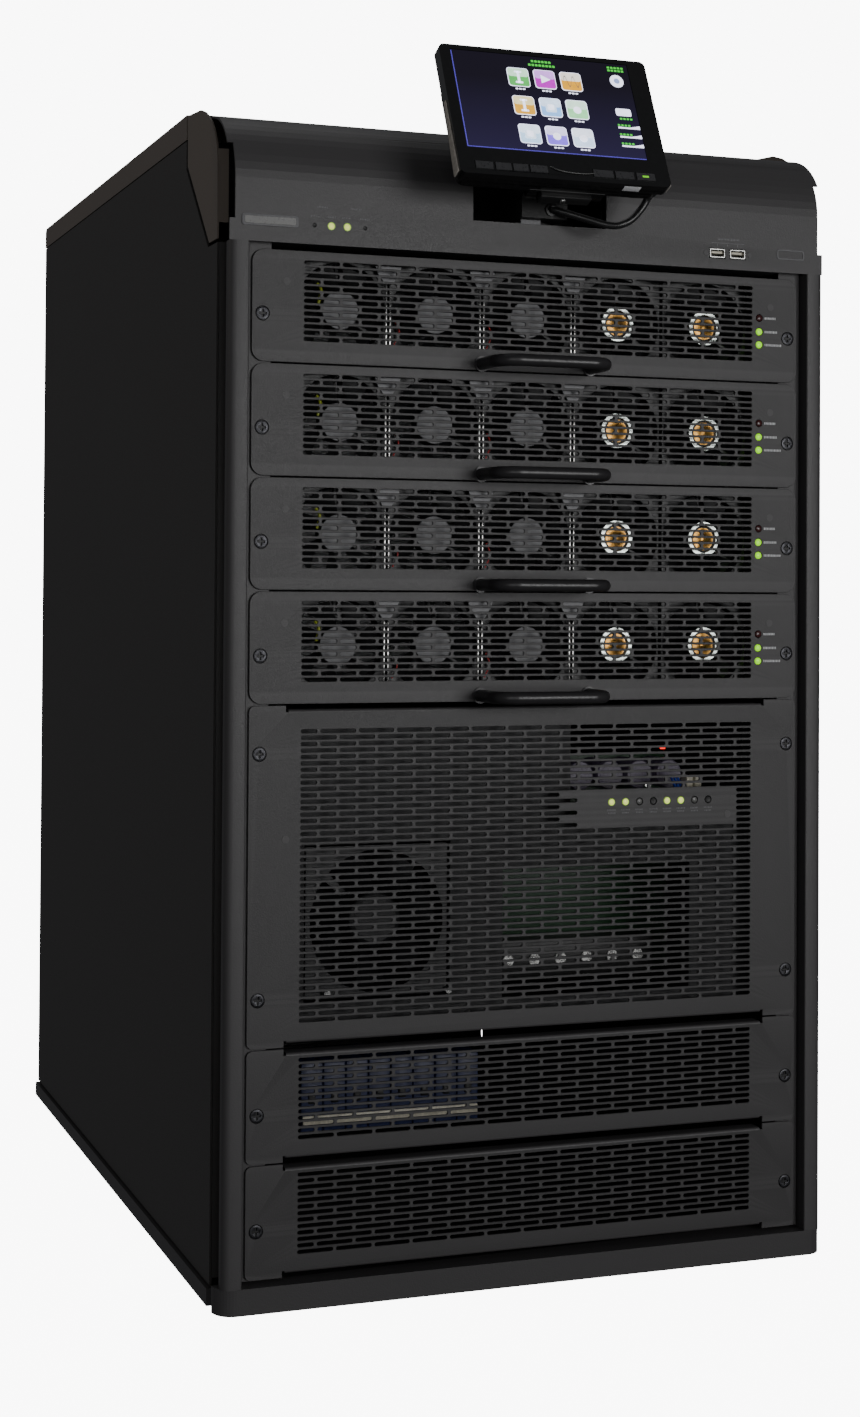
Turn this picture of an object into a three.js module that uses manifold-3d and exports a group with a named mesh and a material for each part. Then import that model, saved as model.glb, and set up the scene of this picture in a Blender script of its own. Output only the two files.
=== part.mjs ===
// Modular UPS power cabinet: an 18U, 19-inch cabinet with four slide-in power modules, a static-switch
// section, two filler panels, a curved hood and a tilting monitor.  Millimetres, +Z up, front faces -Y,
// origin on the floor under the middle of the base.
import * as THREE from 'three';
import { mergeVertices } from 'three/addons/utils/BufferGeometryUtils.js';
import Module from 'manifold-3d';

const wasm = await Module();
wasm.setup();

// ---- driving dimensions ----
const RACK_UNIT = 44.45;
const PANEL_WIDTH = 482.6;
const PANEL_GAP = 1.2;
const PANEL_THICK = 2;
const PANEL_Y = -357;
const RAIL_INNER = 225;
const RAIL_OUTER = 245;

const BAY_Z = 22.5;
const BAY_UNITS = 18;
const BODY_HALF = 263.5;
const SHEET = 1.5;
const BASE_HALF = 266;
const BASE_HEIGHT = 13.5;
const BASE_RADIUS = 16;
const FRONT_Y = -366;
const FRAME_BACK_Y = -336;
const REAR_Y = 366;
const BAY_TOP = BAY_Z + BAY_UNITS * RACK_UNIT;
const LID_Z = 927.8;
const TOP_Z = 948.5;
const GAP = 0.3;

const MODULE_COUNT = 4;
const MODULE_UNITS = 2;
const CHASSIS_HALF = 220;
const CHASSIS_DEPTH = 480;
const FAN_PITCH = 81.25;
const FAN_SIZE = 79.6;
const FAN_DEPTH = 25;
const FAN_Y = -352.5;

const SLOT_PITCH = 5;
const SLOT_HEIGHT = 3;
const SLOT_HALF_FIELD = 198.75;

const LAMP_RADIUS = 3;
const LAMP_X = 205.5;
const LAMP_RISES = [31.8, 42.8, 54.4];
const SWITCH_LAMP_X = Array.from({ length: 8 }, (_, i) => 69.8 + i * 12.7);
const SWITCH_LAMP_Z = BAY_Z + 361.3;

const HANDLE_HALF = 48;
const HANDLE_REACH = 42;
const HANDLE_ROD = 5;
const HANDLE_BEND = 15;
const HANDLE_RISE = 5.5;

const MONITOR_CENTRE = [-8.5, -409.5, 932.3];
const MONITOR_TILT = THREE.MathUtils.degToRad(23.9);
const MONITOR_WIDTH = 180.2;
const MONITOR_HEIGHT = 121.6;
const BEZEL_DEPTH = 10.7;
const TILT_AXIS = [-379, 907.5];
const SWIVEL_Y = -335;

// ---- solids ----
function toSolid(geometry) {
  const bare = geometry.clone();
  bare.deleteAttribute('normal');
  bare.deleteAttribute('uv');
  const merged = mergeVertices(bare, 1e-4);
  const vertProperties = Float32Array.from(merged.attributes.position.array);
  const triVerts = Uint32Array.from(merged.index.array);
  return new wasm.Manifold(new wasm.Mesh({ numProp: 3, vertProperties, triVerts }));
}

function fromSolid(solid) {
  const mesh = solid.getMesh();
  const geometry = new THREE.BufferGeometry();
  geometry.setAttribute('position', new THREE.BufferAttribute(Float32Array.from(mesh.vertProperties), 3));
  geometry.setIndex(new THREE.BufferAttribute(Uint32Array.from(mesh.triVerts), 1));
  geometry.computeVertexNormals();
  return geometry;
}

function join(...geometries) {
  return fromSolid(geometries.map(toSolid).reduce((whole, part) => whole.add(part)));
}

function cut(body, ...tools) {
  return fromSolid(tools.map(toSolid).reduce((whole, tool) => whole.subtract(tool), toSolid(body)));
}

// A box between two corners.
function block(low, high) {
  const size = high.map((value, i) => value - low[i]);
  const middle = high.map((value, i) => (value + low[i]) / 2);
  return new THREE.BoxGeometry(...size).translate(...middle);
}

// An outline in X and Z, given depth along Y from its front face.
function frontPlate(shape, frontY, depth, curveSegments = 6) {
  const plate = new THREE.ExtrudeGeometry(shape, { depth, bevelEnabled: false, curveSegments });
  return plate.rotateX(Math.PI / 2).translate(0, frontY + depth, 0);
}

// An outline in Y and Z, given width along X.
function sidePlate(shape, lowX, width, curveSegments = 8) {
  const plate = new THREE.ExtrudeGeometry(shape, { depth: width, bevelEnabled: false, curveSegments });
  const axes = new THREE.Matrix4().makeBasis(
    new THREE.Vector3(0, 1, 0), new THREE.Vector3(0, 0, 1), new THREE.Vector3(1, 0, 0));
  return plate.applyMatrix4(axes).translate(lowX, 0, 0);
}

function roundedRect(x0, y0, x1, y1, radius) {
  const shape = new THREE.Shape();
  shape.absarc(x1 - radius, y0 + radius, radius, -Math.PI / 2, 0);
  shape.absarc(x1 - radius, y1 - radius, radius, 0, Math.PI / 2);
  shape.absarc(x0 + radius, y1 - radius, radius, Math.PI / 2, Math.PI);
  shape.absarc(x0 + radius, y0 + radius, radius, Math.PI, Math.PI * 1.5);
  shape.closePath();
  return shape;
}

function outline(points) {
  return new THREE.Shape(points.map(([a, b]) => new THREE.Vector2(a, b)));
}

function rectHole(x0, y0, x1, y1) {
  return new THREE.Path([[x0, y0], [x1, y0], [x1, y1], [x0, y1]].map(([a, b]) => new THREE.Vector2(a, b)));
}

function ringPoints(x, y, radius, sides) {
  return Array.from({ length: sides }, (_, i) => {
    const angle = (2 * Math.PI * (i + 0.5)) / sides;
    return new THREE.Vector2(x + radius * Math.cos(angle), y + radius * Math.sin(angle));
  });
}

// A cylinder along one axis: 'x', 'y' or 'z'.
function rod(axis, radius, length, centre, sides = 12) {
  const cylinder = new THREE.CylinderGeometry(radius, radius, length, sides);
  if (axis === 'x') cylinder.rotateZ(Math.PI / 2);
  if (axis === 'z') cylinder.rotateX(Math.PI / 2);
  return cylinder.translate(...centre);
}

function tube(curve, radius, sides, steps) {
  const section = new THREE.Shape(ringPoints(0, 0, radius, sides));
  return new THREE.ExtrudeGeometry(section, { steps, extrudePath: curve, bevelEnabled: false });
}

// ---- assembly ----
const cabinet = new THREE.Group();

const FINISH = {
  frame: { color: 0x3a393b, roughness: 0.55, metalness: 0.3 },
  side: { color: 0x2a2621, roughness: 0.6, metalness: 0.3 },
  panel: { color: 0x414042, roughness: 0.55, metalness: 0.3 },
  black: { color: 0x121212, roughness: 0.4, metalness: 0.1 },
  steel: { color: 0x8f8f8f, roughness: 0.4, metalness: 0.9 },
  lamp: { color: 0x9ad018, roughness: 0.3, metalness: 0 },
  screen: { color: 0x1a1a33, roughness: 0.15, metalness: 0 },
  parts: { color: 0x5a5468, roughness: 0.6, metalness: 0.1 },
};

function add(name, geometry, finish, parent = cabinet) {
  const mesh = new THREE.Mesh(geometry, new THREE.MeshStandardMaterial(FINISH[finish]));
  mesh.name = name;
  parent.add(mesh);
  return mesh;
}

const unitZ = (unit) => BAY_Z + unit * RACK_UNIT;
const moduleZ = (index) => unitZ(BAY_UNITS - MODULE_UNITS * (index + 1));

// ---- cabinet shell ----
function baseFrame() {
  const slab = block([-BASE_HALF, FRAME_BACK_Y + GAP, 0], [BASE_HALF, REAR_Y, BASE_HEIGHT]);
  const well = block([-240, -310, 3], [240, 340, BASE_HEIGHT + 1]);
  return cut(slab, well);
}

function bottomRail() {
  const plan = new THREE.Shape();
  plan.moveTo(-BASE_HALF, FRAME_BACK_Y);
  plan.absarc(-BASE_HALF + BASE_RADIUS, FRONT_Y + BASE_RADIUS, BASE_RADIUS, Math.PI, Math.PI * 1.5);
  plan.absarc(BASE_HALF - BASE_RADIUS, FRONT_Y + BASE_RADIUS, BASE_RADIUS, Math.PI * 1.5, Math.PI * 2);
  plan.lineTo(BASE_HALF, FRAME_BACK_Y);
  plan.closePath();
  return new THREE.ExtrudeGeometry(plan, { depth: 20.5, bevelEnabled: false, curveSegments: 5 });
}

function post(side) {
  const inner = side * (RAIL_OUTER + 0.7);
  const outer = side * 262;
  const low = [Math.min(inner, outer), FRONT_Y, 20.8];
  const high = [Math.max(inner, outer), FRAME_BACK_Y, BAY_TOP + 1.5];
  return block(low, high);
}

function sidePanel(side) {
  const profile = outline([
    [-335, 16], [REAR_Y - 1.8, 16], [REAR_Y - 1.8, 926.5], [-239, 926.5], [-239, 902.5],
    [-308, 828.5], [-335, 828.5],
  ]);
  return sidePlate(profile, side > 0 ? BODY_HALF - SHEET : -BODY_HALF, SHEET);
}

function rearPanel() {
  const sheet = outline([[-261.5, 16], [261.5, 16], [261.5, 926.5], [-261.5, 926.5]]);
  sheet.holes.push(rectHole(-70, 36, 70, 96));
  return frontPlate(sheet, REAR_Y - SHEET, SHEET);
}

function topCover() {
  const radius = 6;
  const profile = new THREE.Shape();
  profile.moveTo(-239, LID_Z);
  profile.lineTo(REAR_Y, LID_Z);
  profile.absarc(REAR_Y - radius, TOP_Z - radius, radius, 0, Math.PI / 2);
  profile.lineTo(-239, TOP_Z);
  profile.closePath();
  const inside = block([-262, -237.5, LID_Z - 1], [262, REAR_Y - 7.5, TOP_Z - SHEET]);
  return cut(sidePlate(profile, -BODY_HALF, 2 * BODY_HALF), inside);
}

// An L-section upright: a flange facing the panel ears and a web running back from its outer edge.
function rackRail(side) {
  const front = PANEL_Y + PANEL_THICK + GAP;
  const [inner, web, outer] = [RAIL_INNER, RAIL_OUTER - 2, RAIL_OUTER].map((x) => side * x);
  const section = side > 0
    ? [[inner, front], [outer, front], [outer, front + 42], [web, front + 42], [web, front + 2], [inner, front + 2]]
    : [[outer, front], [inner, front], [inner, front + 2], [web, front + 2], [web, front + 42], [outer, front + 42]];
  const height = BAY_TOP + 12 - BAY_Z;
  const bar = new THREE.ExtrudeGeometry(outline(section), { depth: height, bevelEnabled: false });
  return bar.translate(0, 0, BAY_Z);
}

// Four L-shaped runners on one upright strap, one runner under each power module.
function shelfFrame(side) {
  const bar = (x0, y0, z0, x1, y1, z1) => block(
    [Math.min(side * x0, side * x1), y0, z0], [Math.max(side * x0, side * x1), y1, z1]);
  const parts = [bar(241, 60, unitZ(10), 242.5, 120, BAY_TOP)];
  for (let i = 0; i < MODULE_COUNT; i++) {
    const z = moduleZ(i);
    parts.push(bar(212, -305, z + 0.4, 242.5, 120, z + 1.6));
    parts.push(bar(241, -305, z + 0.4, 242.5, 120, z + 36));
  }
  return join(...parts);
}

// ---- hood ----
const HOOD_FRONT = -364;
const HOOD_BOTTOM = 826.5;
const HOOD_BEND = 57;
const HOOD_BEND_Z = 875.5;
const HOOD_SLOPE = THREE.MathUtils.degToRad(13);

// Outer line of the hood from its lower front edge to the lid, offset inwards by `inset`.
function hoodLine(inset) {
  const centre = [HOOD_FRONT + HOOD_BEND, HOOD_BEND_Z];
  const radius = HOOD_BEND - inset;
  const points = [[HOOD_FRONT + inset, HOOD_BOTTOM]];
  const steps = 12;
  for (let i = 0; i <= steps; i++) {
    const angle = Math.PI - (i / steps) * (Math.PI / 2 - HOOD_SLOPE);
    points.push([centre[0] + radius * Math.cos(angle), centre[1] + radius * Math.sin(angle)]);
  }
  const [y, z] = points[points.length - 1];
  const top = TOP_Z - 0.8 - inset;
  points.push([y + (top - z) / Math.tan(HOOD_SLOPE), top]);
  points.push([-240.5, top]);
  return points;
}

function hoodCover() {
  const sheet = outline([...hoodLine(0), ...hoodLine(2).reverse()]);
  const shell = sidePlate(sheet, -261.7, 523.4);
  const notch = (x0, x1) => block([x0, HOOD_FRONT - 2, 843.5], [x1, -330, 903]);
  const pocket = block([-59, HOOD_FRONT - 2, 853.5], [59, -335, 917]);
  const sockets = USB_X.map((x) => block([x - 7.6, -370, 835.2], [x + 7.6, -350, 843.8]));
  const lampHoles = HOOD_LAMP_X.map((x) => rod('y', 2.9, 12, [x, HOOD_FRONT + 1, HOOD_LAMP_Z], 10));
  return cut(shell, notch(-263, -257.2), notch(257.2, 263), pocket, ...sockets, ...lampHoles);
}

function hoodCheek(side) {
  const profile = new THREE.Shape();
  profile.moveTo(-334.5, 831.5);
  profile.lineTo(-311, 831.5);
  profile.lineTo(-243.5, 904.5);
  profile.lineTo(-242.5, 947);
  profile.lineTo(-282, 943.5);
  profile.lineTo(-296, 939);
  profile.quadraticCurveTo(-334.5, 922, -334.5, 887);
  profile.closePath();
  const x = side > 0 ? BODY_HALF - SHEET : -BODY_HALF;
  const plate = sidePlate(profile, x, SHEET, 7);
  const flangeX = side > 0 ? [254.3, 262.5] : [-262.5, -254.3];
  return join(plate, block([flangeX[0], -334.5, 844.5], [flangeX[1], -333, 902.5]));
}

function monitorPocket() {
  const shell = block([-62, -350, 850], [62, -296, 906]);
  const swivelRelief = block([-34, -351, 900], [34, -341, 907]);
  return cut(shell, block([-60.5, -351, 851.5], [60.5, -297.5, 904.5]), swivelRelief);
}

const USB_X = [161.5, 180.5];

function usbPorts() {
  const ports = USB_X.map((x) => {
    const shell = block([x - 7.1, -363.5, 835.8], [x + 7.1, -352, 843.2]);
    const mouth = block([x - 6.1, -364, 837], [x + 6.1, -354, 842]);
    const tongue = block([x - 5, -362, 839.6], [x + 5, -353.5, 841.2]);
    return join(cut(shell, mouth), tongue);
  });
  return join(block([150, -352.5, 833], [192, -351, 846]), ...ports);
}

const HOOD_LAMP_X = [-192.8, -178.9, -165.7, -150.8];
const HOOD_LAMP_Z = 841.5;

// Lamps that pass through the hood sheet, on one circuit board behind it.
function hoodLamps() {
  const board = block([-198, HOOD_FRONT + 5, 837], [-145.5, HOOD_FRONT + 6.5, 846]);
  return join(board, ...HOOD_LAMP_X.map((x) => rod('y', 2.5, 7, [x, HOOD_FRONT + 2.2, HOOD_LAMP_Z], 10)));
}

// ---- front panels ----
// Full-width vent slots, one above the other; rows between the two `plain` heights stop at `plainX`.
function slotRows(shape, low, count, plain = [0, 0], plainX = SLOT_HALF_FIELD) {
  for (let row = 0; row < count; row++) {
    const z = low + row * SLOT_PITCH;
    const right = z > plain[0] && z < plain[1] ? plainX : SLOT_HALF_FIELD;
    shape.holes.push(rectHole(-SLOT_HALF_FIELD, z - SLOT_HEIGHT / 2, right, z + SLOT_HEIGHT / 2));
  }
}

function modulePanel(z) {
  const height = MODULE_UNITS * RACK_UNIT;
  const half = PANEL_WIDTH / 2;
  const face = roundedRect(-half, z + PANEL_GAP / 2, half, z + height - PANEL_GAP / 2, 10);
  slotRows(face, z + 19.3, 13);
  for (const rise of LAMP_RISES) {
    face.holes.push(new THREE.Path(ringPoints(LAMP_X, z + rise, LAMP_RADIUS + GAP, 8)));
  }
  return frontPlate(face, PANEL_Y, PANEL_THICK, 3);
}

// A fixed panel: square ears, and top and bottom edges folded back.
function foldedPanel(unit, units, firstRow, rows, hasLamps = false) {
  const [z0, z1] = [unitZ(unit) + PANEL_GAP / 2, unitZ(unit + units) - PANEL_GAP / 2];
  const [half, ear, inset] = [PANEL_WIDTH / 2, 211, 3];
  const face = outline([
    [-half, z0], [-ear, z0], [-ear, z0 + inset], [ear, z0 + inset], [ear, z0], [half, z0],
    [half, z1], [ear, z1], [ear, z1 - inset], [-ear, z1 - inset], [-ear, z1], [-half, z1],
  ]);
  if (hasLamps) {
    for (const x of SWITCH_LAMP_X) {
      face.holes.push(new THREE.Path(ringPoints(x, SWITCH_LAMP_Z, LAMP_RADIUS + GAP, 8)));
    }
  }
  const plain = hasLamps ? [SWITCH_LAMP_Z - 22, SWITCH_LAMP_Z + 11] : [0, 0];
  slotRows(face, unitZ(unit) + firstRow, rows, plain, 45);
  const lip = (z) => block([-209, PANEL_Y + 1, z], [209, PANEL_Y + 13, z + PANEL_THICK]);
  return join(frontPlate(face, PANEL_Y, PANEL_THICK), lip(z0 + inset), lip(z1 - inset - PANEL_THICK));
}

// ---- power modules ----
function bowHandle(z) {
  const back = PANEL_Y - GAP;
  const front = PANEL_Y - HANDLE_REACH;
  const at = (x, y) => new THREE.Vector3(x, y, z + HANDLE_RISE);
  const path = new THREE.CurvePath();
  path.add(new THREE.LineCurve3(at(-HANDLE_HALF, back), at(-HANDLE_HALF, front + HANDLE_BEND)));
  path.add(new THREE.QuadraticBezierCurve3(
    at(-HANDLE_HALF, front + HANDLE_BEND), at(-HANDLE_HALF, front), at(-HANDLE_HALF + HANDLE_BEND, front)));
  path.add(new THREE.LineCurve3(at(-HANDLE_HALF + HANDLE_BEND, front), at(HANDLE_HALF - HANDLE_BEND, front)));
  path.add(new THREE.QuadraticBezierCurve3(
    at(HANDLE_HALF - HANDLE_BEND, front), at(HANDLE_HALF, front), at(HANDLE_HALF, front + HANDLE_BEND)));
  path.add(new THREE.LineCurve3(at(HANDLE_HALF, front + HANDLE_BEND), at(HANDLE_HALF, back)));
  return tube(path, HANDLE_ROD, 8, 20);
}

function moduleChassis(z) {
  const height = MODULE_UNITS * RACK_UNIT;
  const front = PANEL_Y + PANEL_THICK + GAP;
  const shell = block([-CHASSIS_HALF, front, z + 2], [CHASSIS_HALF, front + CHASSIS_DEPTH, z + height - 2.4]);
  return cut(shell, block(
    [-CHASSIS_HALF + 1.2, front - 1, z + 3.2],
    [CHASSIS_HALF - 1.2, front + CHASSIS_DEPTH - 1.5, z + height - 3.6]));
}

function rotorOutline(x, z, hubRadius, tipRadius, blades) {
  const points = [];
  for (let i = 0; i < blades; i++) {
    const start = (2 * Math.PI * i) / blades;
    const polar = (radius, angle) => [x + radius * Math.cos(angle), z + radius * Math.sin(angle)];
    const sweep = (2 * Math.PI) / blades;
    points.push(polar(hubRadius, start), polar(tipRadius, start + 0.25 * sweep));
    points.push(polar(tipRadius, start + 0.8 * sweep), polar(hubRadius, start + 0.6 * sweep));
  }
  return outline(points);
}

// Five fans in one bank: square frames side by side, a rotor in each, on bars across the back.
function fanBank(z) {
  const centreZ = z + RACK_UNIT;
  const [half, reach] = [FAN_SIZE / 2, 2 * FAN_PITCH + FAN_SIZE / 2 - 0.5];
  const frame = outline([
    [-reach, centreZ - half], [reach, centreZ - half], [reach, centreZ + half], [-reach, centreZ + half],
  ]);
  const centres = [-2, -1, 0, 1, 2].map((i) => i * FAN_PITCH);
  for (const x of centres) frame.holes.push(new THREE.Path(ringPoints(x, centreZ, 38, 12)));
  const rotors = centres.map((x) => frontPlate(rotorOutline(x, centreZ, 15.5, 36, 5), FAN_Y + 2, FAN_DEPTH - 4));
  const bar = block([-reach, FAN_Y + 22, centreZ - 4], [reach, FAN_Y + FAN_DEPTH, centreZ + 4]);
  return join(frontPlate(frame, FAN_Y, FAN_DEPTH), bar, ...rotors);
}

// Three lamps that pass through the panel, on one circuit board behind it.
function moduleLamps(z) {
  const board = block([203.7, PANEL_Y + 5, z + 26], [210.5, PANEL_Y + 6.5, z + 60]);
  return join(board, ...LAMP_RISES.map((rise) => rod('y', LAMP_RADIUS, 6.8, [LAMP_X, PANEL_Y + 2.4, z + rise], 8)));
}

function addModules() {
  for (let i = 0; i < MODULE_COUNT; i++) {
    const z = moduleZ(i);
    const name = `module_${i + 1}`;
    add(`${name}_panel`, modulePanel(z), 'panel');
    add(`${name}_chassis`, moduleChassis(z), 'steel');
    add(`${name}_handle`, bowHandle(z), 'black');
    add(`${name}_fans`, fanBank(z), 'black');
    add(`${name}_lamps`, moduleLamps(z), 'lamp');
  }
}

// ---- static-switch section ----
const SWITCH_FAN = [-128, 293];

function switchChassis() {
  const [z0, z1] = [unitZ(4) + 5, unitZ(10) - 6];
  const front = PANEL_Y + 16;
  const shell = block([-CHASSIS_HALF, front, z0], [CHASSIS_HALF, front + 500, z1]);
  const inside = block([-CHASSIS_HALF + 1.5, front + 1.5, z0 + 1.5], [CHASSIS_HALF - 1.5, front + 498, z1 - 1.5]);
  const fanWindow = block([-190, front - 1, 231], [-66, front + 3, 355]);
  const upperWindow = block([40, front - 1, 372], [200, front + 3, z1 - 12]);
  const lowerWindow = block([-20, front - 1, 225], [150, front + 3, 330]);
  return cut(shell, inside, fanWindow, upperWindow, lowerWindow);
}

function switchFanFrame() {
  const [x, z] = SWITCH_FAN;
  const front = PANEL_Y + 18.5;
  const frame = outline([[x - 60, z - 60], [x + 60, z - 60], [x + 60, z + 60], [x - 60, z + 60]]);
  frame.holes.push(new THREE.Path(ringPoints(x, z, 57, 20)));
  const struts = [0, 1].map((turn) => {
    const bar = block([-57.5, front + 34, -3], [57.5, front + 37.5, 3]);
    return bar.rotateY(turn * Math.PI / 2 + Math.PI / 4).translate(x, 0, z);
  });
  return join(frontPlate(frame, front, 38), rod('y', 21, 3.5, [x, front + 35.75, z], 14), ...struts);
}

function switchFanRotor() {
  const [x, z] = SWITCH_FAN;
  const front = PANEL_Y + 22;
  const blades = frontPlate(rotorOutline(x, z, 22, 54.5, 7), front, 26);
  return join(blades, rod('y', 22.2, 27, [x, front + 13.5, z], 14));
}

function switchLamps() {
  const first = SWITCH_LAMP_X[0] - 6;
  const last = SWITCH_LAMP_X[7] + 6;
  const board = block([first, PANEL_Y + 5, SWITCH_LAMP_Z - 6], [last, PANEL_Y + 6.5, SWITCH_LAMP_Z + 6]);
  return join(board, ...SWITCH_LAMP_X.map((x) => rod('y', LAMP_RADIUS, 6.8, [x, PANEL_Y + 2.4, SWITCH_LAMP_Z], 8)));
}

function switchComponents() {
  const back = PANEL_Y + 60;
  const capacitors = [70, 98, 126, 154].map((x) => rod('y', 12.5, 70, [x, back + 35, 400], 12));
  const terminal = block([-10, back, 232], [140, back + 40, 262]);
  const board = block([-15, back + 38, 226], [172, back + 40, 414]);
  return join(...capacitors, terminal, board);
}

function breakerRow() {
  const breakers = [];
  for (let i = 0; i < 8; i++) {
    const x = -190 + i * 19;
    breakers.push(block([x, PANEL_Y + 18, BAY_Z + 106], [x + 18, PANEL_Y + 78, BAY_Z + 160]));
  }
  const rail = block([-190, PANEL_Y + 76, BAY_Z + 122], [-39, PANEL_Y + 84, BAY_Z + 145]);
  return join(...breakers, rail);
}

// ---- monitor ----
// Local frame: x to the right, y into the monitor from the glass, z up its face.
const monitor = new THREE.Group();
monitor.position.set(...MONITOR_CENTRE);
monitor.rotation.x = -MONITOR_TILT;
cabinet.add(monitor);

const DISPLAY = { x: -3.7, z: 9.9, width: 154.1, height: 92 };
const KEY_ROWS = [
  { x: -69.5, width: 14.5 }, { x: -53.5, width: 13 }, { x: -39, width: 12.5 }, { x: -23.5, width: 14.5 },
  { x: 31.5, width: 17 }, { x: 50, width: 16 }, { x: 68.5, width: 16 },
];
const KEY_Z = -52.8;
const KEY_HEIGHT = 6.5;

function monitorShell() {
  const [w, h] = [MONITOR_WIDTH / 2, MONITOR_HEIGHT / 2];
  const front = frontPlate(roundedRect(-w, -h, w, h, 5), 0, BEZEL_DEPTH, 3);
  const back = frontPlate(roundedRect(-w + 5, -h + 3, w - 5, h - 28, 6), BEZEL_DEPTH - 1, 12, 3);
  const boss = block([-24, 20, -58], [41, 30, -16]);
  const lug = block([-5.5, 29, -20], [22.5, 45, -1.5]);
  const pinHole = rod('x', 4.3, 60, [8.5, 37.9, -10.3], 12);
  const display = block(
    [DISPLAY.x - 77.4, -1, DISPLAY.z - 46.4], [DISPLAY.x + 77.4, 1.8, DISPLAY.z + 46.4]);
  const pockets = KEY_ROWS.map(({ x, width }) => block(
    [x - width / 2 - 0.4, -1, KEY_Z - KEY_HEIGHT / 2 - 0.4],
    [x + width / 2 + 0.4, 3.4, KEY_Z + KEY_HEIGHT / 2 + 0.4]));
  return cut(join(front, back, boss, lug), pinHole, display, ...pockets);
}

function monitorScreen() {
  return block(
    [DISPLAY.x - 77, 0.3, DISPLAY.z - 46], [DISPLAY.x + 77, 1.5, DISPLAY.z + 46]);
}

function addMonitor() {
  add('monitor_shell', monitorShell(), 'black', monitor);
  add('monitor_screen', monitorScreen(), 'screen', monitor);
  KEY_ROWS.forEach(({ x, width }, i) => {
    const key = block(
      [x - width / 2, -0.8, KEY_Z - KEY_HEIGHT / 2], [x + width / 2, 1.8, KEY_Z + KEY_HEIGHT / 2]);
    add(`monitor_key_${i + 1}`, key, 'black', monitor);
  });
  add('monitor_post', monitorPost(), 'black');
  add('monitor_arm', monitorArm(), 'black');
  add('monitor_cable', monitorCable(), 'black');
}

function monitorPost() {
  return join(
    rod('z', 22, 5, [0, SWIVEL_Y, 854.3], 16),
    rod('z', 6, 24, [0, SWIVEL_Y, 866], 12));
}

function monitorArm() {
  const [axisY, axisZ] = TILT_AXIS;
  const foot = block([-20, -372, 857.4], [20, -313, 872]);
  const bore = rod('z', 6.4, 40, [0, SWIVEL_Y, 870], 12);
  const ear = outline([
    [-356, 871], [-322, 871], [-322, 884], [axisY + 9, axisZ + 8], [axisY - 7, axisZ + 8], [axisY - 7, axisZ - 7],
  ]);
  const pin = rod('x', 4, 42, [0, axisY, axisZ], 12);
  return cut(join(foot, sidePlate(ear, 15, 5), sidePlate(ear, -20, 5), pin), bore);
}

// Cable route from the monitor's back, down in a free loop and into the front of the arm's foot.
const CABLE_ROUTE = [
  [76, -409.2, 877.5], [76.5, -405.2, 875.7], [75.8, -402, 871.4], [71.2, -400.6, 863.8], [62.5, -400, 855],
  [52, -398, 850.6], [43, -395, 851.2], [34.7, -391, 854], [25.5, -386, 857.4], [17, -382, 860.4],
  [10, -378.6, 862.8], [6.2, -376.2, 864.2], [5.6, -373.2, 864.6],
];
const CABLE_RADIUS = 3;

function monitorCable() {
  const curve = new THREE.CatmullRomCurve3(CABLE_ROUTE.map((point) => new THREE.Vector3(...point)));
  return tube(curve, CABLE_RADIUS, 8, 20);
}

add('base_frame', baseFrame(), 'frame');
add('bottom_rail', bottomRail(), 'frame');
add('post_left', post(-1), 'frame');
add('post_right', post(1), 'frame');
add('top_rail', block([-240, -335, BAY_TOP + 13], [240, -305, 847]), 'frame');
add('side_panel_left', sidePanel(-1), 'side');
add('side_panel_right', sidePanel(1), 'side');
add('rear_panel', rearPanel(), 'side');
add('top_cover', topCover(), 'side');
add('rack_rail_left', rackRail(-1), 'frame');
add('rack_rail_right', rackRail(1), 'frame');
add('shelf_frame_left', shelfFrame(-1), 'steel');
add('shelf_frame_right', shelfFrame(1), 'steel');
add('hood_cover', hoodCover(), 'frame');
add('hood_cheek_left', hoodCheek(-1), 'side');
add('hood_cheek_right', hoodCheek(1), 'side');
add('monitor_pocket', monitorPocket(), 'black');
add('usb_ports', usbPorts(), 'steel');
add('hood_lamps', hoodLamps(), 'lamp');
addModules();
add('switch_panel', foldedPanel(4, 6, 20.85, 46, true), 'panel');
add('filler_panel_upper', foldedPanel(2, 2, 19.3, 13), 'panel');
add('filler_panel_lower', foldedPanel(0, 2, 19.3, 13), 'panel');
add('switch_chassis', switchChassis(), 'steel');
add('switch_fan_frame', switchFanFrame(), 'black');
add('switch_fan_rotor', switchFanRotor(), 'black');
add('switch_lamps', switchLamps(), 'lamp');
add('switch_components', switchComponents(), 'parts');
add('breaker_row', breakerRow(), 'parts');
addMonitor();

export default cabinet;
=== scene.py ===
"""Modular UPS power cabinet: finished surfaces, small parts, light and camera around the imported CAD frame."""
import math
import bmesh
import bpy
from mathutils import Matrix, Vector


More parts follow.
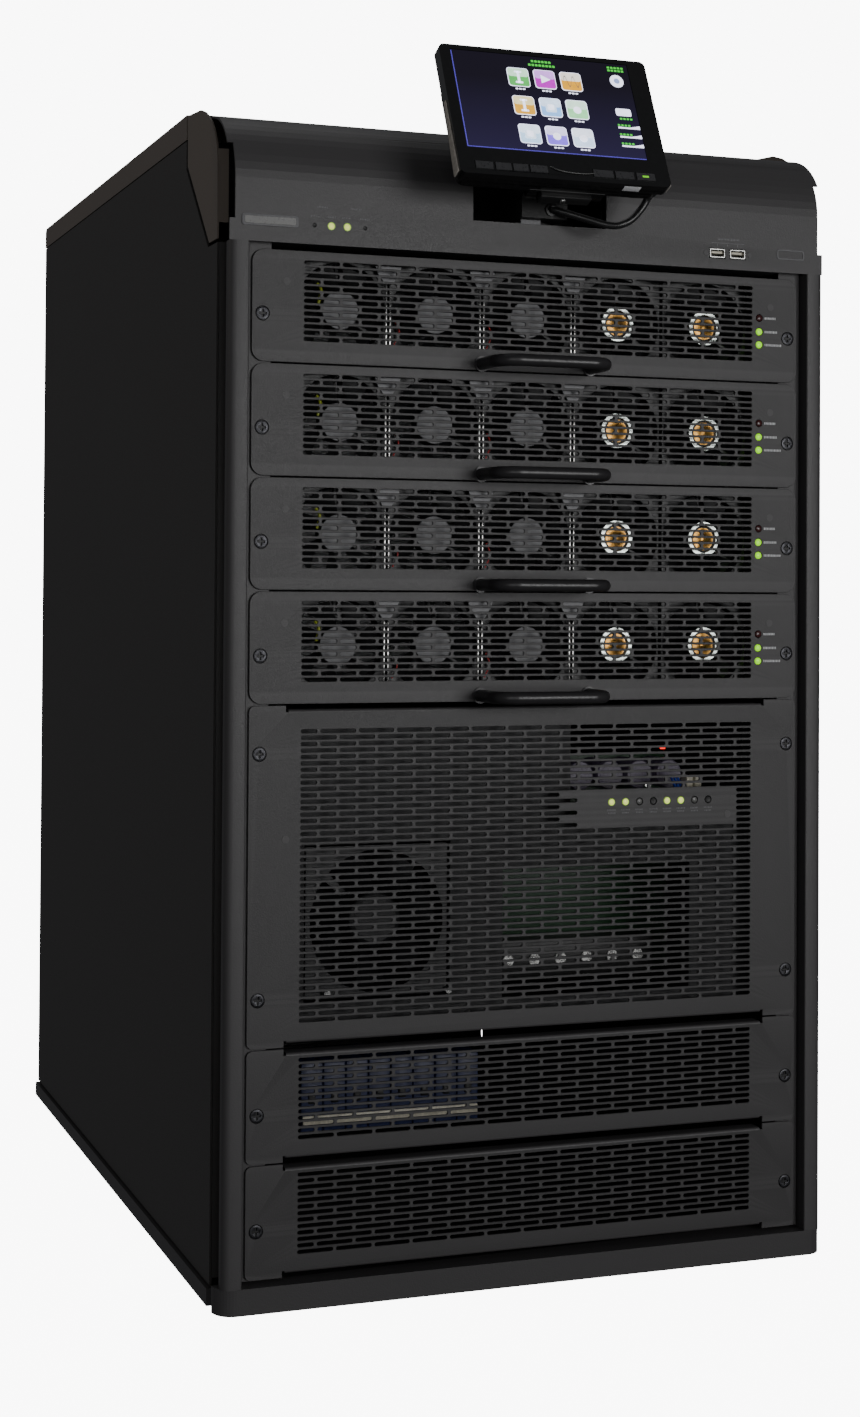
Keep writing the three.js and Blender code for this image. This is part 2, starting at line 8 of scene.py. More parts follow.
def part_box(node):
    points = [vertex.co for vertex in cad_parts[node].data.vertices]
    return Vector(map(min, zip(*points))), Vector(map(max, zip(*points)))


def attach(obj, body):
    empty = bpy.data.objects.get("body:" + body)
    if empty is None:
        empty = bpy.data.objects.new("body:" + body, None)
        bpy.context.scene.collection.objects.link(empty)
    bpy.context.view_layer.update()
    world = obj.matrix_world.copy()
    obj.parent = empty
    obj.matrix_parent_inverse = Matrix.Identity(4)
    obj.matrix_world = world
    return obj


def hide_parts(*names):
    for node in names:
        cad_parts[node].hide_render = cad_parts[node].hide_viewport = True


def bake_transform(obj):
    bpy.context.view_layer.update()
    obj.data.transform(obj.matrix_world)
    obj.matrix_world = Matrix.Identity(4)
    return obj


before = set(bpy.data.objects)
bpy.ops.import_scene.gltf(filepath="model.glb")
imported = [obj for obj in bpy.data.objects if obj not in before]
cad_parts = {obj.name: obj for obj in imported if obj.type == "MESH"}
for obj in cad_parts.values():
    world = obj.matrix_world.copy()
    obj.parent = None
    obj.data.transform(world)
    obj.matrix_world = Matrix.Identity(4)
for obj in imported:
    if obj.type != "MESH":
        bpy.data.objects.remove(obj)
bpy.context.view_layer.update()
MM = 0.001

# ---- dimensions, in millimetres ----
RACK_UNIT = 44.45
BAY_Z = 22.5
PANEL_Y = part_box("module_1_panel")[0][1] / MM
PANEL_HALF = 241.3
PANEL_THICK = 2.0
SLOT_PITCH, SLOT_HEIGHT, SLOT_LONG, SLOT_SHORT, SLOT_STEP, SLOT_FIELD = 5, 3, 29.5, 13.5, 32, 198.75
SCREW_X, SCREW_RISE = 232.55, 38.1
MODULES = range(1, 5)
HOOD_FACE = -364
LAMP_X, LAMP_RISES = 205.5, (31.8, 42.8, 54.4)


# ---- camera ----
def add_camera():
    """A pinhole camera left of the cabinet's middle, a little above half its height."""
    yaw, pitch, roll = math.radians(18.51), math.radians(0.918), math.radians(0.404)
    forward = Vector((math.sin(yaw) * math.cos(pitch), math.cos(yaw) * math.cos(pitch), math.sin(pitch)))
    right = Vector((math.cos(yaw), -math.sin(yaw), 0))
    up = right.cross(forward)
    tilted_right = right * math.cos(roll) + up * math.sin(roll)
    tilted_up = up * math.cos(roll) - right * math.sin(roll)
    data = bpy.data.cameras.new("camera")
    camera = bpy.data.objects.new("camera", data)
    axes = Matrix((tilted_right, tilted_up, -forward)).transposed().to_4x4()
    camera.matrix_world = Matrix.Translation((-0.7047, -1.9119, 0.5640)) @ axes
    data.lens = 53.17
    data.shift_x = 0.0776
    data.shift_y = -0.1140
    bpy.context.scene.collection.objects.link(camera)
    bpy.context.scene.camera = camera


add_camera()


# ---- materials ----
def new_material(name, color, roughness, metallic=0.0, coat=0.0):
    material = bpy.data.materials.new(name)
    material.use_nodes = True
    shader = material.node_tree.nodes["Principled BSDF"]
    shader.inputs["Base Color"].default_value = (*color, 1)
    shader.inputs["Roughness"].default_value = roughness
    shader.inputs["Metallic"].default_value = metallic
    shader.inputs["Coat Weight"].default_value = coat
    return material, material.node_tree, shader


def noise(tree, scale, detail=3.0):
    coordinates = tree.nodes.new("ShaderNodeTexCoord")
    texture = tree.nodes.new("ShaderNodeTexNoise")
    texture.inputs["Scale"].default_value = scale
    texture.inputs["Detail"].default_value = detail
    tree.links.new(coordinates.outputs["Object"], texture.inputs["Vector"])
    return texture


def ramp(tree, source, low, high, start=0.3, end=0.7):
    node = tree.nodes.new("ShaderNodeValToRGB")
    node.color_ramp.elements[0].position = start
    node.color_ramp.elements[1].position = end
    node.color_ramp.elements[0].color = (*low, 1) if len(low) == 3 else low
    node.color_ramp.elements[1].color = (*high, 1) if len(high) == 3 else high
    tree.links.new(source, node.inputs["Fac"])
    return node.outputs["Color"]


def bump(tree, shader, source, strength, distance):
    node = tree.nodes.new("ShaderNodeBump")
    node.inputs["Strength"].default_value = strength
    node.inputs["Distance"].default_value = distance
    tree.links.new(source, node.inputs["Height"])
    tree.links.new(node.outputs["Normal"], shader.inputs["Normal"])


def powder_coat(name, color, roughness=0.5, grain=900, strength=0.25, spread=0.12, edge_highlight=0.5):
    """Satin powder coat: fine orange peel, faint cloudy tone and a painted highlight that lightens sharp convex
    edges.
    """
    material, tree, shader = new_material(name, color, roughness)
    cloud = noise(tree, 6, 4)
    darker = tuple(c * (1 - spread) for c in color)
    lighter = tuple(c * (1 + spread) for c in color)
    tone = ramp(tree, cloud.outputs["Fac"], darker, lighter)
    # painted highlight: sharp convex edges, found by Pointiness, are mixed towards a colour 2.6 times the
    # paint's, standing in for light caught along the edges
    edge = tree.nodes.new("ShaderNodeNewGeometry")
    edge_highlight_mask = ramp(tree, edge.outputs["Pointiness"], (0, 0, 0), (edge_highlight, edge_highlight, edge_highlight), 0.515, 0.58)
    mix = tree.nodes.new("ShaderNodeMixRGB")
    mix.inputs["Color2"].default_value = (*[min(1, c * 2.6 + 0.02) for c in color], 1)
    tree.links.new(edge_highlight_mask, mix.inputs["Fac"])
    tree.links.new(tone, mix.inputs["Color1"])
    tree.links.new(mix.outputs["Color"], shader.inputs["Base Color"])
    peel = noise(tree, grain, 2)
    gloss = ramp(tree, peel.outputs["Fac"], (roughness - 0.05,) * 3, (roughness + 0.06,) * 3)
    tree.links.new(gloss, shader.inputs["Roughness"])
    bump(tree, shader, peel.outputs["Fac"], strength, 0.0004)
    return material


def galvanised(name, color):
    material, tree, shader = new_material(name, color, 0.42, 0.85)
    coordinates = tree.nodes.new("ShaderNodeTexCoord")
    cells = tree.nodes.new("ShaderNodeTexVoronoi")
    cells.inputs["Scale"].default_value = 90
    tree.links.new(coordinates.outputs["Object"], cells.inputs["Vector"])
    tone = ramp(tree, cells.outputs["Distance"], tuple(c * 0.75 for c in color), color, 0.0, 0.9)
    tree.links.new(tone, shader.inputs["Base Color"])
    gloss = ramp(tree, cells.outputs["Distance"], (0.34,) * 3, (0.5,) * 3, 0.0, 0.9)
    tree.links.new(gloss, shader.inputs["Roughness"])
    return material


def plastic(name, color, roughness=0.35, grain=500, strength=0.12, coat=0.0):
    material, tree, shader = new_material(name, color, roughness, 0.0, coat)
    texture = noise(tree, grain, 2)
    tone = ramp(tree, texture.outputs["Fac"], tuple(c * 0.85 for c in color), tuple(c * 1.15 for c in color))
    tree.links.new(tone, shader.inputs["Base Color"])
    gloss = ramp(tree, texture.outputs["Fac"], (max(0.03, roughness - 0.05),) * 3, (roughness + 0.05,) * 3)
    tree.links.new(gloss, shader.inputs["Roughness"])
    bump(tree, shader, texture.outputs["Fac"], strength, 0.0002)
    return material


def metal(name, color, roughness=0.3):
    material, tree, shader = new_material(name, color, roughness, 1.0)
    texture = noise(tree, 300, 3)
    gloss = ramp(tree, texture.outputs["Fac"], (roughness - 0.08,) * 3, (roughness + 0.12,) * 3)
    tree.links.new(gloss, shader.inputs["Roughness"])
    tone = ramp(tree, texture.outputs["Fac"], tuple(c * 0.8 for c in color), color)
    tree.links.new(tone, shader.inputs["Base Color"])
    return material


def glowing(name, color, strength, base=None, roughness=0.3):
    """A lit lens or picture element, a little uneven across its face."""
    material, tree, shader = new_material(name, base or color, roughness)
    texture = noise(tree, 220, 2)
    tone = ramp(tree, texture.outputs["Fac"], tuple(c * 0.82 for c in color), color)
    tree.links.new(tone, shader.inputs["Emission Color"])
    shader.inputs["Emission Strength"].default_value = strength
    return material


PANEL_PAINT = powder_coat("panel_paint", (0.0235, 0.0222, 0.0228), 0.5, spread=0.08)
FRAME_PAINT = powder_coat("frame_paint", (0.0190, 0.0178, 0.0184), 0.48, spread=0.08)
HOOD_PAINT = powder_coat("hood_paint", (0.0225, 0.0212, 0.0218), 0.46, spread=0.08)
SIDE_PAINT = powder_coat("side_paint", (0.0125, 0.0110, 0.0100), 0.55, spread=0.1)
CHEEK_PAINT = powder_coat("cheek_paint", (0.080, 0.066, 0.054), 0.5, spread=0.1)
LID_PAINT = powder_coat("lid_paint", (0.075, 0.062, 0.052), 0.52, spread=0.1)
HANDLE_PAINT = powder_coat("handle_paint", (0.016, 0.015, 0.016), 0.34, 500, 0.2, 0.1, 0.2)
ZINC = galvanised("sheet_steel", (0.36, 0.36, 0.37))
DARK_SHEET = powder_coat("dark_sheet", (0.012, 0.012, 0.013), 0.55, 700, 0.2, 0.1, 0.2)
# near-black, darker than the hood paint and the black plastic: partly the pocket's and arm's own black, partly
# painted shade under the monitor
POCKET_BLACK_AND_SHADE = powder_coat("pocket_black_and_painted_shade", (0.006, 0.006, 0.006), 0.6, 700, 0.2, 0.1, 0.1)
BLACK_PLASTIC = plastic("black_plastic", (0.010, 0.010, 0.010), 0.42)
GLOSS_BLACK = plastic("gloss_bezel", (0.006, 0.006, 0.006), 0.12, 260, 0.03, 0.5)
KEY_BLACK = plastic("key_black", (0.045, 0.045, 0.047), 0.3, 400, 0.08)
FAN_BLACK = plastic("fan_black", (0.008, 0.008, 0.009), 0.38)
HUB_LABEL = plastic("hub_label", (0.24, 0.24, 0.25), 0.5, 300)
HUB_SILVER = metal("hub_silver", (0.48, 0.52, 0.49), 0.2)
COPPER = metal("copper", (0.72, 0.38, 0.10), 0.3)
SCREW_STEEL = metal("screw_black", (0.055, 0.055, 0.06), 0.38)
BRIGHT_STEEL = metal("bright_steel", (0.65, 0.65, 0.63), 0.25)
SILVER_PLASTIC = plastic("silver_plastic", (0.42, 0.39, 0.35), 0.35, 350)
CABLE_JACKET = plastic("cable_jacket", (0.012, 0.012, 0.012), 0.3, 350, 0.15)
CREAM_PLASTIC = plastic("cream_plastic", (0.62, 0.58, 0.47), 0.4)
LABEL_WHITE = plastic("label_white", (0.62, 0.62, 0.63), 0.6)
LABEL_GREY = plastic("label_grey", (0.15, 0.15, 0.155), 0.6)
GREEN_LAMP = glowing("lamp_green", (0.30, 0.80, 0.0), 1.1)
PALE_LAMP = glowing("lamp_pale", (0.75, 0.82, 0.18), 0.9)
LIME_RIM = glowing("lamp_rim", (0.30, 0.55, 0.02), 0.35)
OFF_LAMP = plastic("lamp_off", (0.050, 0.010, 0.010), 0.2)
GREY_LAMP = plastic("lamp_grey", (0.11, 0.11, 0.105), 0.3)
# near-black: inside holes, empty lamp seats and around screw heads it is painted shade; on the cable-entry
# brush it is the bristles' own black
HOLE_SHADE_AND_BRISTLE_BLACK = plastic("hole_shade_and_bristle_black", (0.003, 0.003, 0.003), 0.5)
RED_GLOW = glowing("red_glow", (0.9, 0.02, 0.01), 2.5)
CAPACITOR = plastic("capacitor", (0.115, 0.095, 0.150), 0.3)
NAVY = plastic("navy_block", (0.020, 0.028, 0.085), 0.4)
BLUE_WIRE = plastic("blue_wire", (0.03, 0.07, 0.45), 0.35)
RED_WIRE = plastic("red_wire", (0.45, 0.02, 0.02), 0.35)
YELLOW_WIRE = plastic("yellow_wire", (0.35, 0.40, 0.02), 0.35)
BOARD_GREEN = plastic("board_green", (0.012, 0.05, 0.018), 0.4)


# ---- mesh helpers ----
def link(name, mesh, material, body, smooth=40):
    piece = bpy.data.objects.new(name, mesh)
    bpy.context.scene.collection.objects.link(piece)
    if material is not None:
        mesh.materials.clear()
        mesh.materials.append(material)
    shade(mesh, smooth)
    if body:
        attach(piece, body)
    return piece


def shade(mesh, angle):
    """Smooth faces with sharp edges over `angle` degrees."""
    work = bmesh.new()
    work.from_mesh(mesh)
    for face in work.faces:
        face.smooth = True
    limit = math.radians(angle)
    for edge in work.edges:
        edge.smooth = len(edge.link_faces) == 2 and edge.calc_face_angle(0) < limit
    work.to_mesh(mesh)
    work.free()


def flat_mesh(loops, depth, bevel=0.0, steps=1):
    """A plate from closed outlines in x and z (the first is the rim, the rest are holes).
    Its front is at y = 0 and it goes back by `depth`; all in mm, the mesh in metres."""
    curve = bpy.data.curves.new("outline", "CURVE")
    curve.dimensions = "2D"
    curve.fill_mode = "BOTH"
    curve.extrude = (depth / 2 - bevel) * MM
    curve.bevel_depth = bevel * MM
    curve.bevel_resolution = steps - 1
    curve.offset = -bevel * MM
    for loop in loops:
        spline = curve.splines.new("POLY")
        spline.points.add(len(loop) - 1)
        for point, (x, z) in zip(spline.points, loop):
            point.co = (x * MM, z * MM, 0, 1)
        spline.use_cyclic_u = True
    holder = bpy.data.objects.new("outline", curve)
    bpy.context.scene.collection.objects.link(holder)
    graph = bpy.context.evaluated_depsgraph_get()
    mesh = bpy.data.meshes.new_from_object(holder.evaluated_get(graph))
    bpy.data.objects.remove(holder)
    bpy.data.curves.remove(curve)
    turn = Matrix.Rotation(math.radians(90), 4, "X")
    mesh.transform(Matrix.Translation((0, depth / 2 * MM, 0)) @ turn)
    work = bmesh.new()
    work.from_mesh(mesh)
    bmesh.ops.remove_doubles(work, verts=work.verts, dist=1e-6)
    bmesh.ops.recalc_face_normals(work, faces=work.faces)
    work.to_mesh(mesh)
    work.free()
    return mesh


def plate(name, loops, y, depth, material, body, bevel=0.2, steps=1, smooth=40, place=None):
    mesh = flat_mesh(loops, depth, bevel, steps)
    mesh.transform(Matrix.Translation((0, y * MM, 0)))
    if place is not None:
        mesh.transform(place)
    return link(name, mesh, material, body, smooth)


def rounded_rect(x0, z0, x1, z1, radius, steps=5):
    corners = [(x1 - radius, z0 + radius, -90), (x1 - radius, z1 - radius, 0),
               (x0 + radius, z1 - radius, 90), (x0 + radius, z0 + radius, 180)]
    points = []
    for x, z, start in corners:
        for i in range(steps + 1):
            angle = math.radians(start + 90 * i / steps)
            points.append((x + radius * math.cos(angle), z + radius * math.sin(angle)))
    return points


def circle(x, z, radius, sides=24):
    return [(x + radius * math.cos(2 * math.pi * i / sides), z + radius * math.sin(2 * math.pi * i / sides))
            for i in range(sides)]


def slot(x0, x1, z, steps=3):
    radius = SLOT_HEIGHT / 2
    return rounded_rect(x0, z - radius, x1, z + radius, radius - 0.01, steps)


def block(name, low, high, material, body, bevel=0.6, place=None):
    """A box with rounded edges, in mm."""
    work = bmesh.new()
    bmesh.ops.create_cube(work, size=1)
    size = [(b - a) * MM for a, b in zip(low, high)]
    middle = [(b + a) / 2 * MM for a, b in zip(low, high)]
    bmesh.ops.scale(work, vec=size, verts=work.verts)
    bmesh.ops.translate(work, vec=middle, verts=work.verts)
    width = min(bevel * MM, min(size) * 0.45)
    bmesh.ops.bevel(work, geom=work.edges[:], offset=width, segments=2, profile=0.5, affect="EDGES")
    mesh = bpy.data.meshes.new(name)
    work.to_mesh(mesh)
    work.free()
    if place is not None:
        mesh.transform(place)
    return link(name, mesh, material, body)


def turned(name, profile, centre, axis, material, body, sides=24, place=None):
    """A solid of revolution; profile is (radius, distance along axis), end to end."""
    work = bmesh.new()
    rings = []
    for radius, along in profile:
        if radius < 1e-6:
            rings.append([work.verts.new((0, 0, along * MM))])
            continue
        ring = [work.verts.new((radius * MM * math.cos(2 * math.pi * i / sides),
                                radius * MM * math.sin(2 * math.pi * i / sides), along * MM))
                for i in range(sides)]
        rings.append(ring)
    for below, above in zip(rings, rings[1:]):
        for i in range(sides):
            j = (i + 1) % sides
            corners = [below[i % len(below)], below[j % len(below)], above[j % len(above)],
                above[i % len(above)]]
            unique = [v for k, v in enumerate(corners) if v not in corners[:k]]
            if len(unique) > 2:
                work.faces.new(unique)
    bmesh.ops.recalc_face_normals(work, faces=work.faces)
    mesh = bpy.data.meshes.new(name)
    work.to_mesh(mesh)
    work.free()
    turn = Vector((0, 0, 1)).rotation_difference(Vector(axis)).to_matrix().to_4x4()
    mesh.transform(Matrix.Translation(Vector(centre) * MM) @ turn)
    if place is not None:
        mesh.transform(place)
    return link(name, mesh, material, body)


def knob(name, profile, centre, material, sides):
    """A small turned part whose axis runs front to back, to be merged later."""
    return turned(name, profile, centre, (0, 1, 0), material, None, sides)


def tube_mesh(points, radius, sides=14):
    """A closed tube along points in metres; frames are carried along without twist."""
    work = bmesh.new()
    points = [Vector(p) for p in points]
    tangents = [(points[min(i + 1, len(points) - 1)] - points[max(i - 1, 0)]).normalized()
                for i in range(len(points))]
    normal = tangents[0].orthogonal().normalized()
    rings = []
    for i, (point, tangent) in enumerate(zip(points, tangents)):
        if i:
            normal = (tangents[i - 1].rotation_difference(tangent) @ normal).normalized()
        side = tangent.cross(normal)
        rings.append([work.verts.new(point + radius * (math.cos(a) * normal + math.sin(a) * side))
                      for a in (2 * math.pi * k / sides for k in range(sides))])
    for one, two in zip(rings, rings[1:]):
        for k in range(sides):
            work.faces.new((one[k], one[(k + 1) % sides], two[(k + 1) % sides], two[k]))
    work.faces.new(rings[0][::-1])
    work.faces.new(rings[-1])
    bmesh.ops.recalc_face_normals(work, faces=work.faces)
    mesh = bpy.data.meshes.new("tube")
    work.to_mesh(mesh)
    work.free()
    return mesh


def smooth_path(points, steps=6):
    """Catmull-Rom through points given in mm, as points in metres."""
    vectors = [Vector(p) * MM for p in points]
    ends = [vectors[0] * 2 - vectors[1], *vectors, vectors[-1] * 2 - vectors[-2]]
    path = []
    for a, b, c, d in zip(ends, ends[1:], ends[2:], ends[3:]):
        for i in range(steps):
            t = i / steps
            path.append(0.5 * (2 * b + (c - a) * t + (2 * a - 5 * b + 4 * c - d) * t * t
                               + (3 * b - a - 3 * c + d) * t ** 3))
    path.append(vectors[-1])
    return path


def tube(name, points, radius, material, body, sides=14, steps=6, place=None):
    mesh = tube_mesh(smooth_path(points, steps), radius * MM, sides)
    if place is not None:
        mesh.transform(place)
    return link(name, mesh, material, body, 60)


def merge(name, pieces, body):
    """One object from several with their materials kept."""
    materials = []
    work = bmesh.new()
    for piece in pieces:
        mesh = piece.data
        start = len(work.faces)
        mapping = []
        for material in mesh.materials:
            if material not in materials:
                materials.append(material)
            mapping.append(materials.index(material))
        work.from_mesh(mesh)
        work.faces.ensure_lookup_table()
        for face in work.faces[start:]:
            face.material_index = mapping[min(face.material_index, len(mapping) - 1)]
    result = bpy.data.meshes.new(name)
    work.to_mesh(result)
    work.free()
    for material in materials:
        result.materials.append(material)
    for piece in pieces:
        bpy.data.objects.remove(piece)
    merged = bpy.data.objects.new(name, result)
    bpy.context.scene.collection.objects.link(merged)
    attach(merged, body)
    return merged


def dress(node, material, bevel=0.8, segments=2, smooth=35):
    """A CAD node keeps its shape and gets a finish and softened edges."""
    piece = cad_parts[node]
    piece.data.materials.clear()
    piece.data.materials.append(material)
    for face in piece.data.polygons:
        face.use_smooth = True
    flat = piece.modifiers.new("merge_flats", "DECIMATE")
    flat.decimate_type = "DISSOLVE"
    flat.angle_limit = math.radians(1)
    if bevel:
        edge = piece.modifiers.new("soft_edges", "BEVEL")
        edge.width = bevel * MM
        edge.segments = segments
        edge.limit_method = "ANGLE"
        edge.angle_limit = math.radians(smooth)
        edge.harden_normals = False
    weighted = piece.modifiers.new("even_shading", "WEIGHTED_NORMAL")
    weighted.keep_sharp = True
    return piece


def unit_z(unit):
    return BAY_Z + unit * RACK_UNIT


def module_z(number):
    return unit_z(18 - 2 * number)


# ---- vented panels ----
def slot_row(z, odd):
    """Staggered slots across one row: twelve long ones and a short one at one end."""
    x = -SLOT_FIELD
    widths = [SLOT_SHORT] + [SLOT_LONG] * 12 if odd else [SLOT_LONG] * 12 + [SLOT_SHORT]
    row = []
    for width in widths:
        row.append((x, x + width, z))
        x += width + SLOT_STEP - SLOT_LONG
    return row


def keep_clear(row, left, right):
    """Removes the slots between two positions; a long slot cut by the right one keeps its short end."""
    kept = []
    for x0, x1, z in row:
        if x1 <= left or x0 >= right:
            kept.append((x0, x1, z))
        elif x1 > right + 6:
            kept.append((x1 - SLOT_SHORT, x1, z))
    return kept


def module_panel(number):
    body, z = f"module_{number}", module_z(number)
    holes = [slot(*s) for row in range(13) for s in slot_row(z + 19.3 + row * SLOT_PITCH, row % 2 == 1)]
    for rise in LAMP_RISES:
        holes.append(circle(LAMP_X, z + rise, 3.15, 16))
    for x in (-SCREW_X, SCREW_X):
        holes.append(circle(x, z + SCREW_RISE, 5.7, 24))
    rim = rounded_rect(-PANEL_HALF, z + 0.6, PANEL_HALF, z + 88.3, 10, 8)
    face = plate(f"{body}_face", [rim] + holes, PANEL_Y, PANEL_THICK, PANEL_PAINT, body, 0.3, 1)
    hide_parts(f"{body}_panel")
    rivets = [turned("rivet", [(0, 0), (2.6, 0), (3, -0.1), (3, -0.25), (0, -0.25)][::-1],
                     (x, PANEL_Y, z + 63.7), (0, 1, 0), PANEL_PAINT, body, 20) for x in (-213, 216)]
    merge(f"{body}_rivets", rivets, body)


def fixed_panel(name, node, unit, units, first_row, rows, clear=None, lamps=()):
    """A panel with square ears and relief notches, its top and bottom edges folded back."""
    bottom, top = unit_z(unit), unit_z(unit + units)
    ear, notch, fold, inset = 211, 2, 5, 3.2
    low, high = bottom + 0.6, top - 0.6
    outline = rounded_rect(-PANEL_HALF, low, PANEL_HALF, high, 5, 5)
    low_left = [p for p in outline if p[0] < 0 and p[1] < low + 6]
    low_right = [p for p in outline if p[0] > 0 and p[1] < low + 6]
    high_left = [p for p in outline if p[0] < 0 and p[1] > high - 6]
    high_right = [p for p in outline if p[0] > 0 and p[1] > high - 6]
    heights_low, heights_high = (low, low + fold, low + fold, low + inset + 2), (
        high, high - fold, high - fold, high - inset - 2)
    notch_xs = (-ear, -ear, -ear + notch, -ear + notch)
    lower, upper = list(zip(notch_xs, heights_low)), list(zip(notch_xs, heights_high))
    rim = low_left + lower + [(-x, z) for x, z in lower[::-1]] + low_right
    rim += high_right + [(-x, z) for x, z in upper] + upper[::-1] + high_left
    holes = []
    for row in range(rows):
        z = bottom + first_row + row * SLOT_PITCH
        slots = slot_row(z, row % 2 == 1)
        if clear and clear[2] < z < clear[3]:
            slots = keep_clear(slots, clear[0], clear[1])
        holes += [slot(*s) for s in slots]
    holes += [circle(x, z, 3.15, 16) for x, z in lamps]
    rises = [SCREW_RISE] if units == 2 else [SCREW_RISE, units * RACK_UNIT - SCREW_RISE]
    holes += [circle(x, bottom + r, 5.7, 24) for r in rises for x in (-SCREW_X, SCREW_X)]
    face = plate(f"{name}_face", [rim] + holes, PANEL_Y, PANEL_THICK, PANEL_PAINT, None, 0.25, 1)
    folds = [fold_strip("fold", low + inset, 1), fold_strip("fold", high - inset, -1)]
    whole = merge(name, [face] + folds, "cabinet")
    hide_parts(node)
    return rises


def fold_strip(name, z_edge, up, radius=2.2, reach=13):
    """The rounded fold and the flange behind one long edge of a fixed panel."""
    outer = []
    join = z_edge + up * (radius + 2)
    for i in range(7):
        angle = math.radians(90 * i / 6)
        y = PANEL_Y + radius + 0.02 - radius * math.cos(angle)
        z = z_edge + up * (radius - radius * math.sin(angle))
        outer.append((y, z))
    outer = [(PANEL_Y + 0.02, join)] + outer + [(PANEL_Y + reach, z_edge)]
    inner = [(PANEL_Y + reach, z_edge + up * 1.5), (PANEL_Y + radius + 0.4, z_edge + up * 1.5),
             (PANEL_Y + 1.6, z_edge + up * (radius + 0.4)), (PANEL_Y + 1.6, join)]
    return extruded(name, outer + inner, "x", -208.8, 208.8, PANEL_PAINT, None)


def extruded(name, outline, axis, low, high, material, body, bevel=0.0, place=None):
    """A closed outline carried straight along "x" (outline in y, z) or "z" (outline in x, y), in mm."""
    work = bmesh.new()
    rings = [[work.verts.new(Vector((end, *point) if axis == "x" else (*point,
        end)) * MM) for point in outline] for end in (low, high)]
    count = len(outline)
    for i in range(count):
        j = (i + 1) % count
        work.faces.new((rings[0][i], rings[0][j], rings[1][j], rings[1][i]))
    work.faces.new(rings[0][::-1])
    work.faces.new(rings[1])
    bmesh.ops.recalc_face_normals(work, faces=work.faces)
    if bevel:
        bmesh.ops.bevel(work, geom=work.edges[:], offset=bevel * MM, segments=1, affect="EDGES")
    mesh = bpy.data.meshes.new(name)
    work.to_mesh(mesh)
    work.free()
    if place is not None:
        mesh.transform(place)
    return link(name, mesh, material, body)


def cross_screws(name, places, body, material=None):
    """Countersunk cross-head screws, flush with the panel."""
    material = material or SCREW_STEEL
    parts = []
    arm, width = 3.2, 0.75
    for x, z in places:
        cross = [(x + a * width + b * arm, z + c * width + d * arm) for a, b, c, d in (
            (-1, 0, 0, -1), (1, 0, 0, -1), (1, 0, -1, 0), (0, 1, -1, 0), (0, 1, 1, 0), (1, 0, 1, 0),
            (1, 0, 0, 1), (-1, 0, 0, 1), (-1, 0, 1, 0), (0, -1, 1, 0), (0, -1, -1, 0), (-1, 0, -1, 0))]
        parts.append(plate("head", [circle(x, z, 5.2, 28), cross], PANEL_Y - 0.2, 1.2, material, None,
            0.3, 2))
        # near-black disc behind the head: painted shade in the gap around the screw
        parts.append(plate("recess", [circle(x, z, 5.6, 24)], PANEL_Y + 0.9, 0.8, HOLE_SHADE_AND_BRISTLE_BLACK, None, 0.1))
    return merge(name, parts, body)


# ---- modules ----
def bow_handle(number):
    body, z = f"module_{number}", module_z(number) + 5.5
    half, reach, radius = 48, 42, 17
    front = PANEL_Y - reach
    points = [(-half, PANEL_Y - 0.1), (-half, PANEL_Y - 8), (-half, front + radius)]
    for i in range(1, 8):
        angle = math.radians(180 + 90 * i / 8)
        points.append((-half + radius + radius * math.cos(angle), front + radius + radius * math.sin(angle)))
    points += [(-half + radius, front), (-15, front)]
    path = [(x, y, z) for x, y in points] + [(-x, y, z) for x, y in points[::-1]]
    rod = tube(f"{body}_handle_rod", path, 5, HANDLE_PAINT, None, 18, 3)
    feet = [knob("foot", [(0, 0), (6.4, 0), (6.4, 0.8), (5.6, 1.4), (0, 1.4)],
                   (x, PANEL_Y - 1.5, z), HANDLE_PAINT, 24) for x in (-half, half)]
    whole = merge(f"{body}_bow_handle", [rod] + feet, body)
    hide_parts(f"{body}_handle")


def fan_blades(x, y, z, hub, tip, depth, count, material, twist=28):
    """Swept, pitched blades of an axial fan, each a thin closed shell."""
    parts = []
    for k in range(count):
        base = 2 * math.pi * k / count
        work = bmesh.new()
        layers = []
        for i in range(6):
            radius = hub - 0.5 + (tip - hub + 0.5) * i / 5
            spread = math.radians(26 + 7 * i / 5)
            lead = base + math.radians(14 * i / 5)
            row = []
            for j in range(5):
                u = j / 4
                angle = lead + (u - 0.5) * 2 * spread * 0.5
                drop = (u - 0.5) * depth * math.cos(math.radians(twist * i / 5))
                row.append((radius, angle, drop))
            layers.append(row)
        grid = []
        for side in (0, 0.9):
            grid.append([[work.verts.new(((x + r * math.cos(a)) * MM, (y + d + side) * MM,
                                          (z + r * math.sin(a)) * MM)) for r, a, d in row] for row in layers])
        for i in range(5):
            for j in range(4):
                top, low = grid[0], grid[1]
                work.faces.new((top[i][j], top[i][j + 1], top[i + 1][j + 1], top[i + 1][j]))
                work.faces.new((low[i][j], low[i + 1][j], low[i + 1][j + 1], low[i][j + 1]))
        border = [(0, j) for j in range(4)] + [(i, 4) for i in range(5)]
        border += [(5, j) for j in range(4, 0, -1)] + [(i, 0) for i in range(5, 0, -1)]
        for (i, j), (m, n) in zip(border, border[1:] + border[:1]):
            work.faces.new((grid[0][i][j], grid[1][i][j], grid[1][m][n], grid[0][m][n]))
        bmesh.ops.recalc_face_normals(work, faces=work.faces)
        mesh = bpy.data.meshes.new("blade")
        work.to_mesh(mesh)
        work.free()
        parts.append(link("blade", mesh, material, None, 50))
    return parts


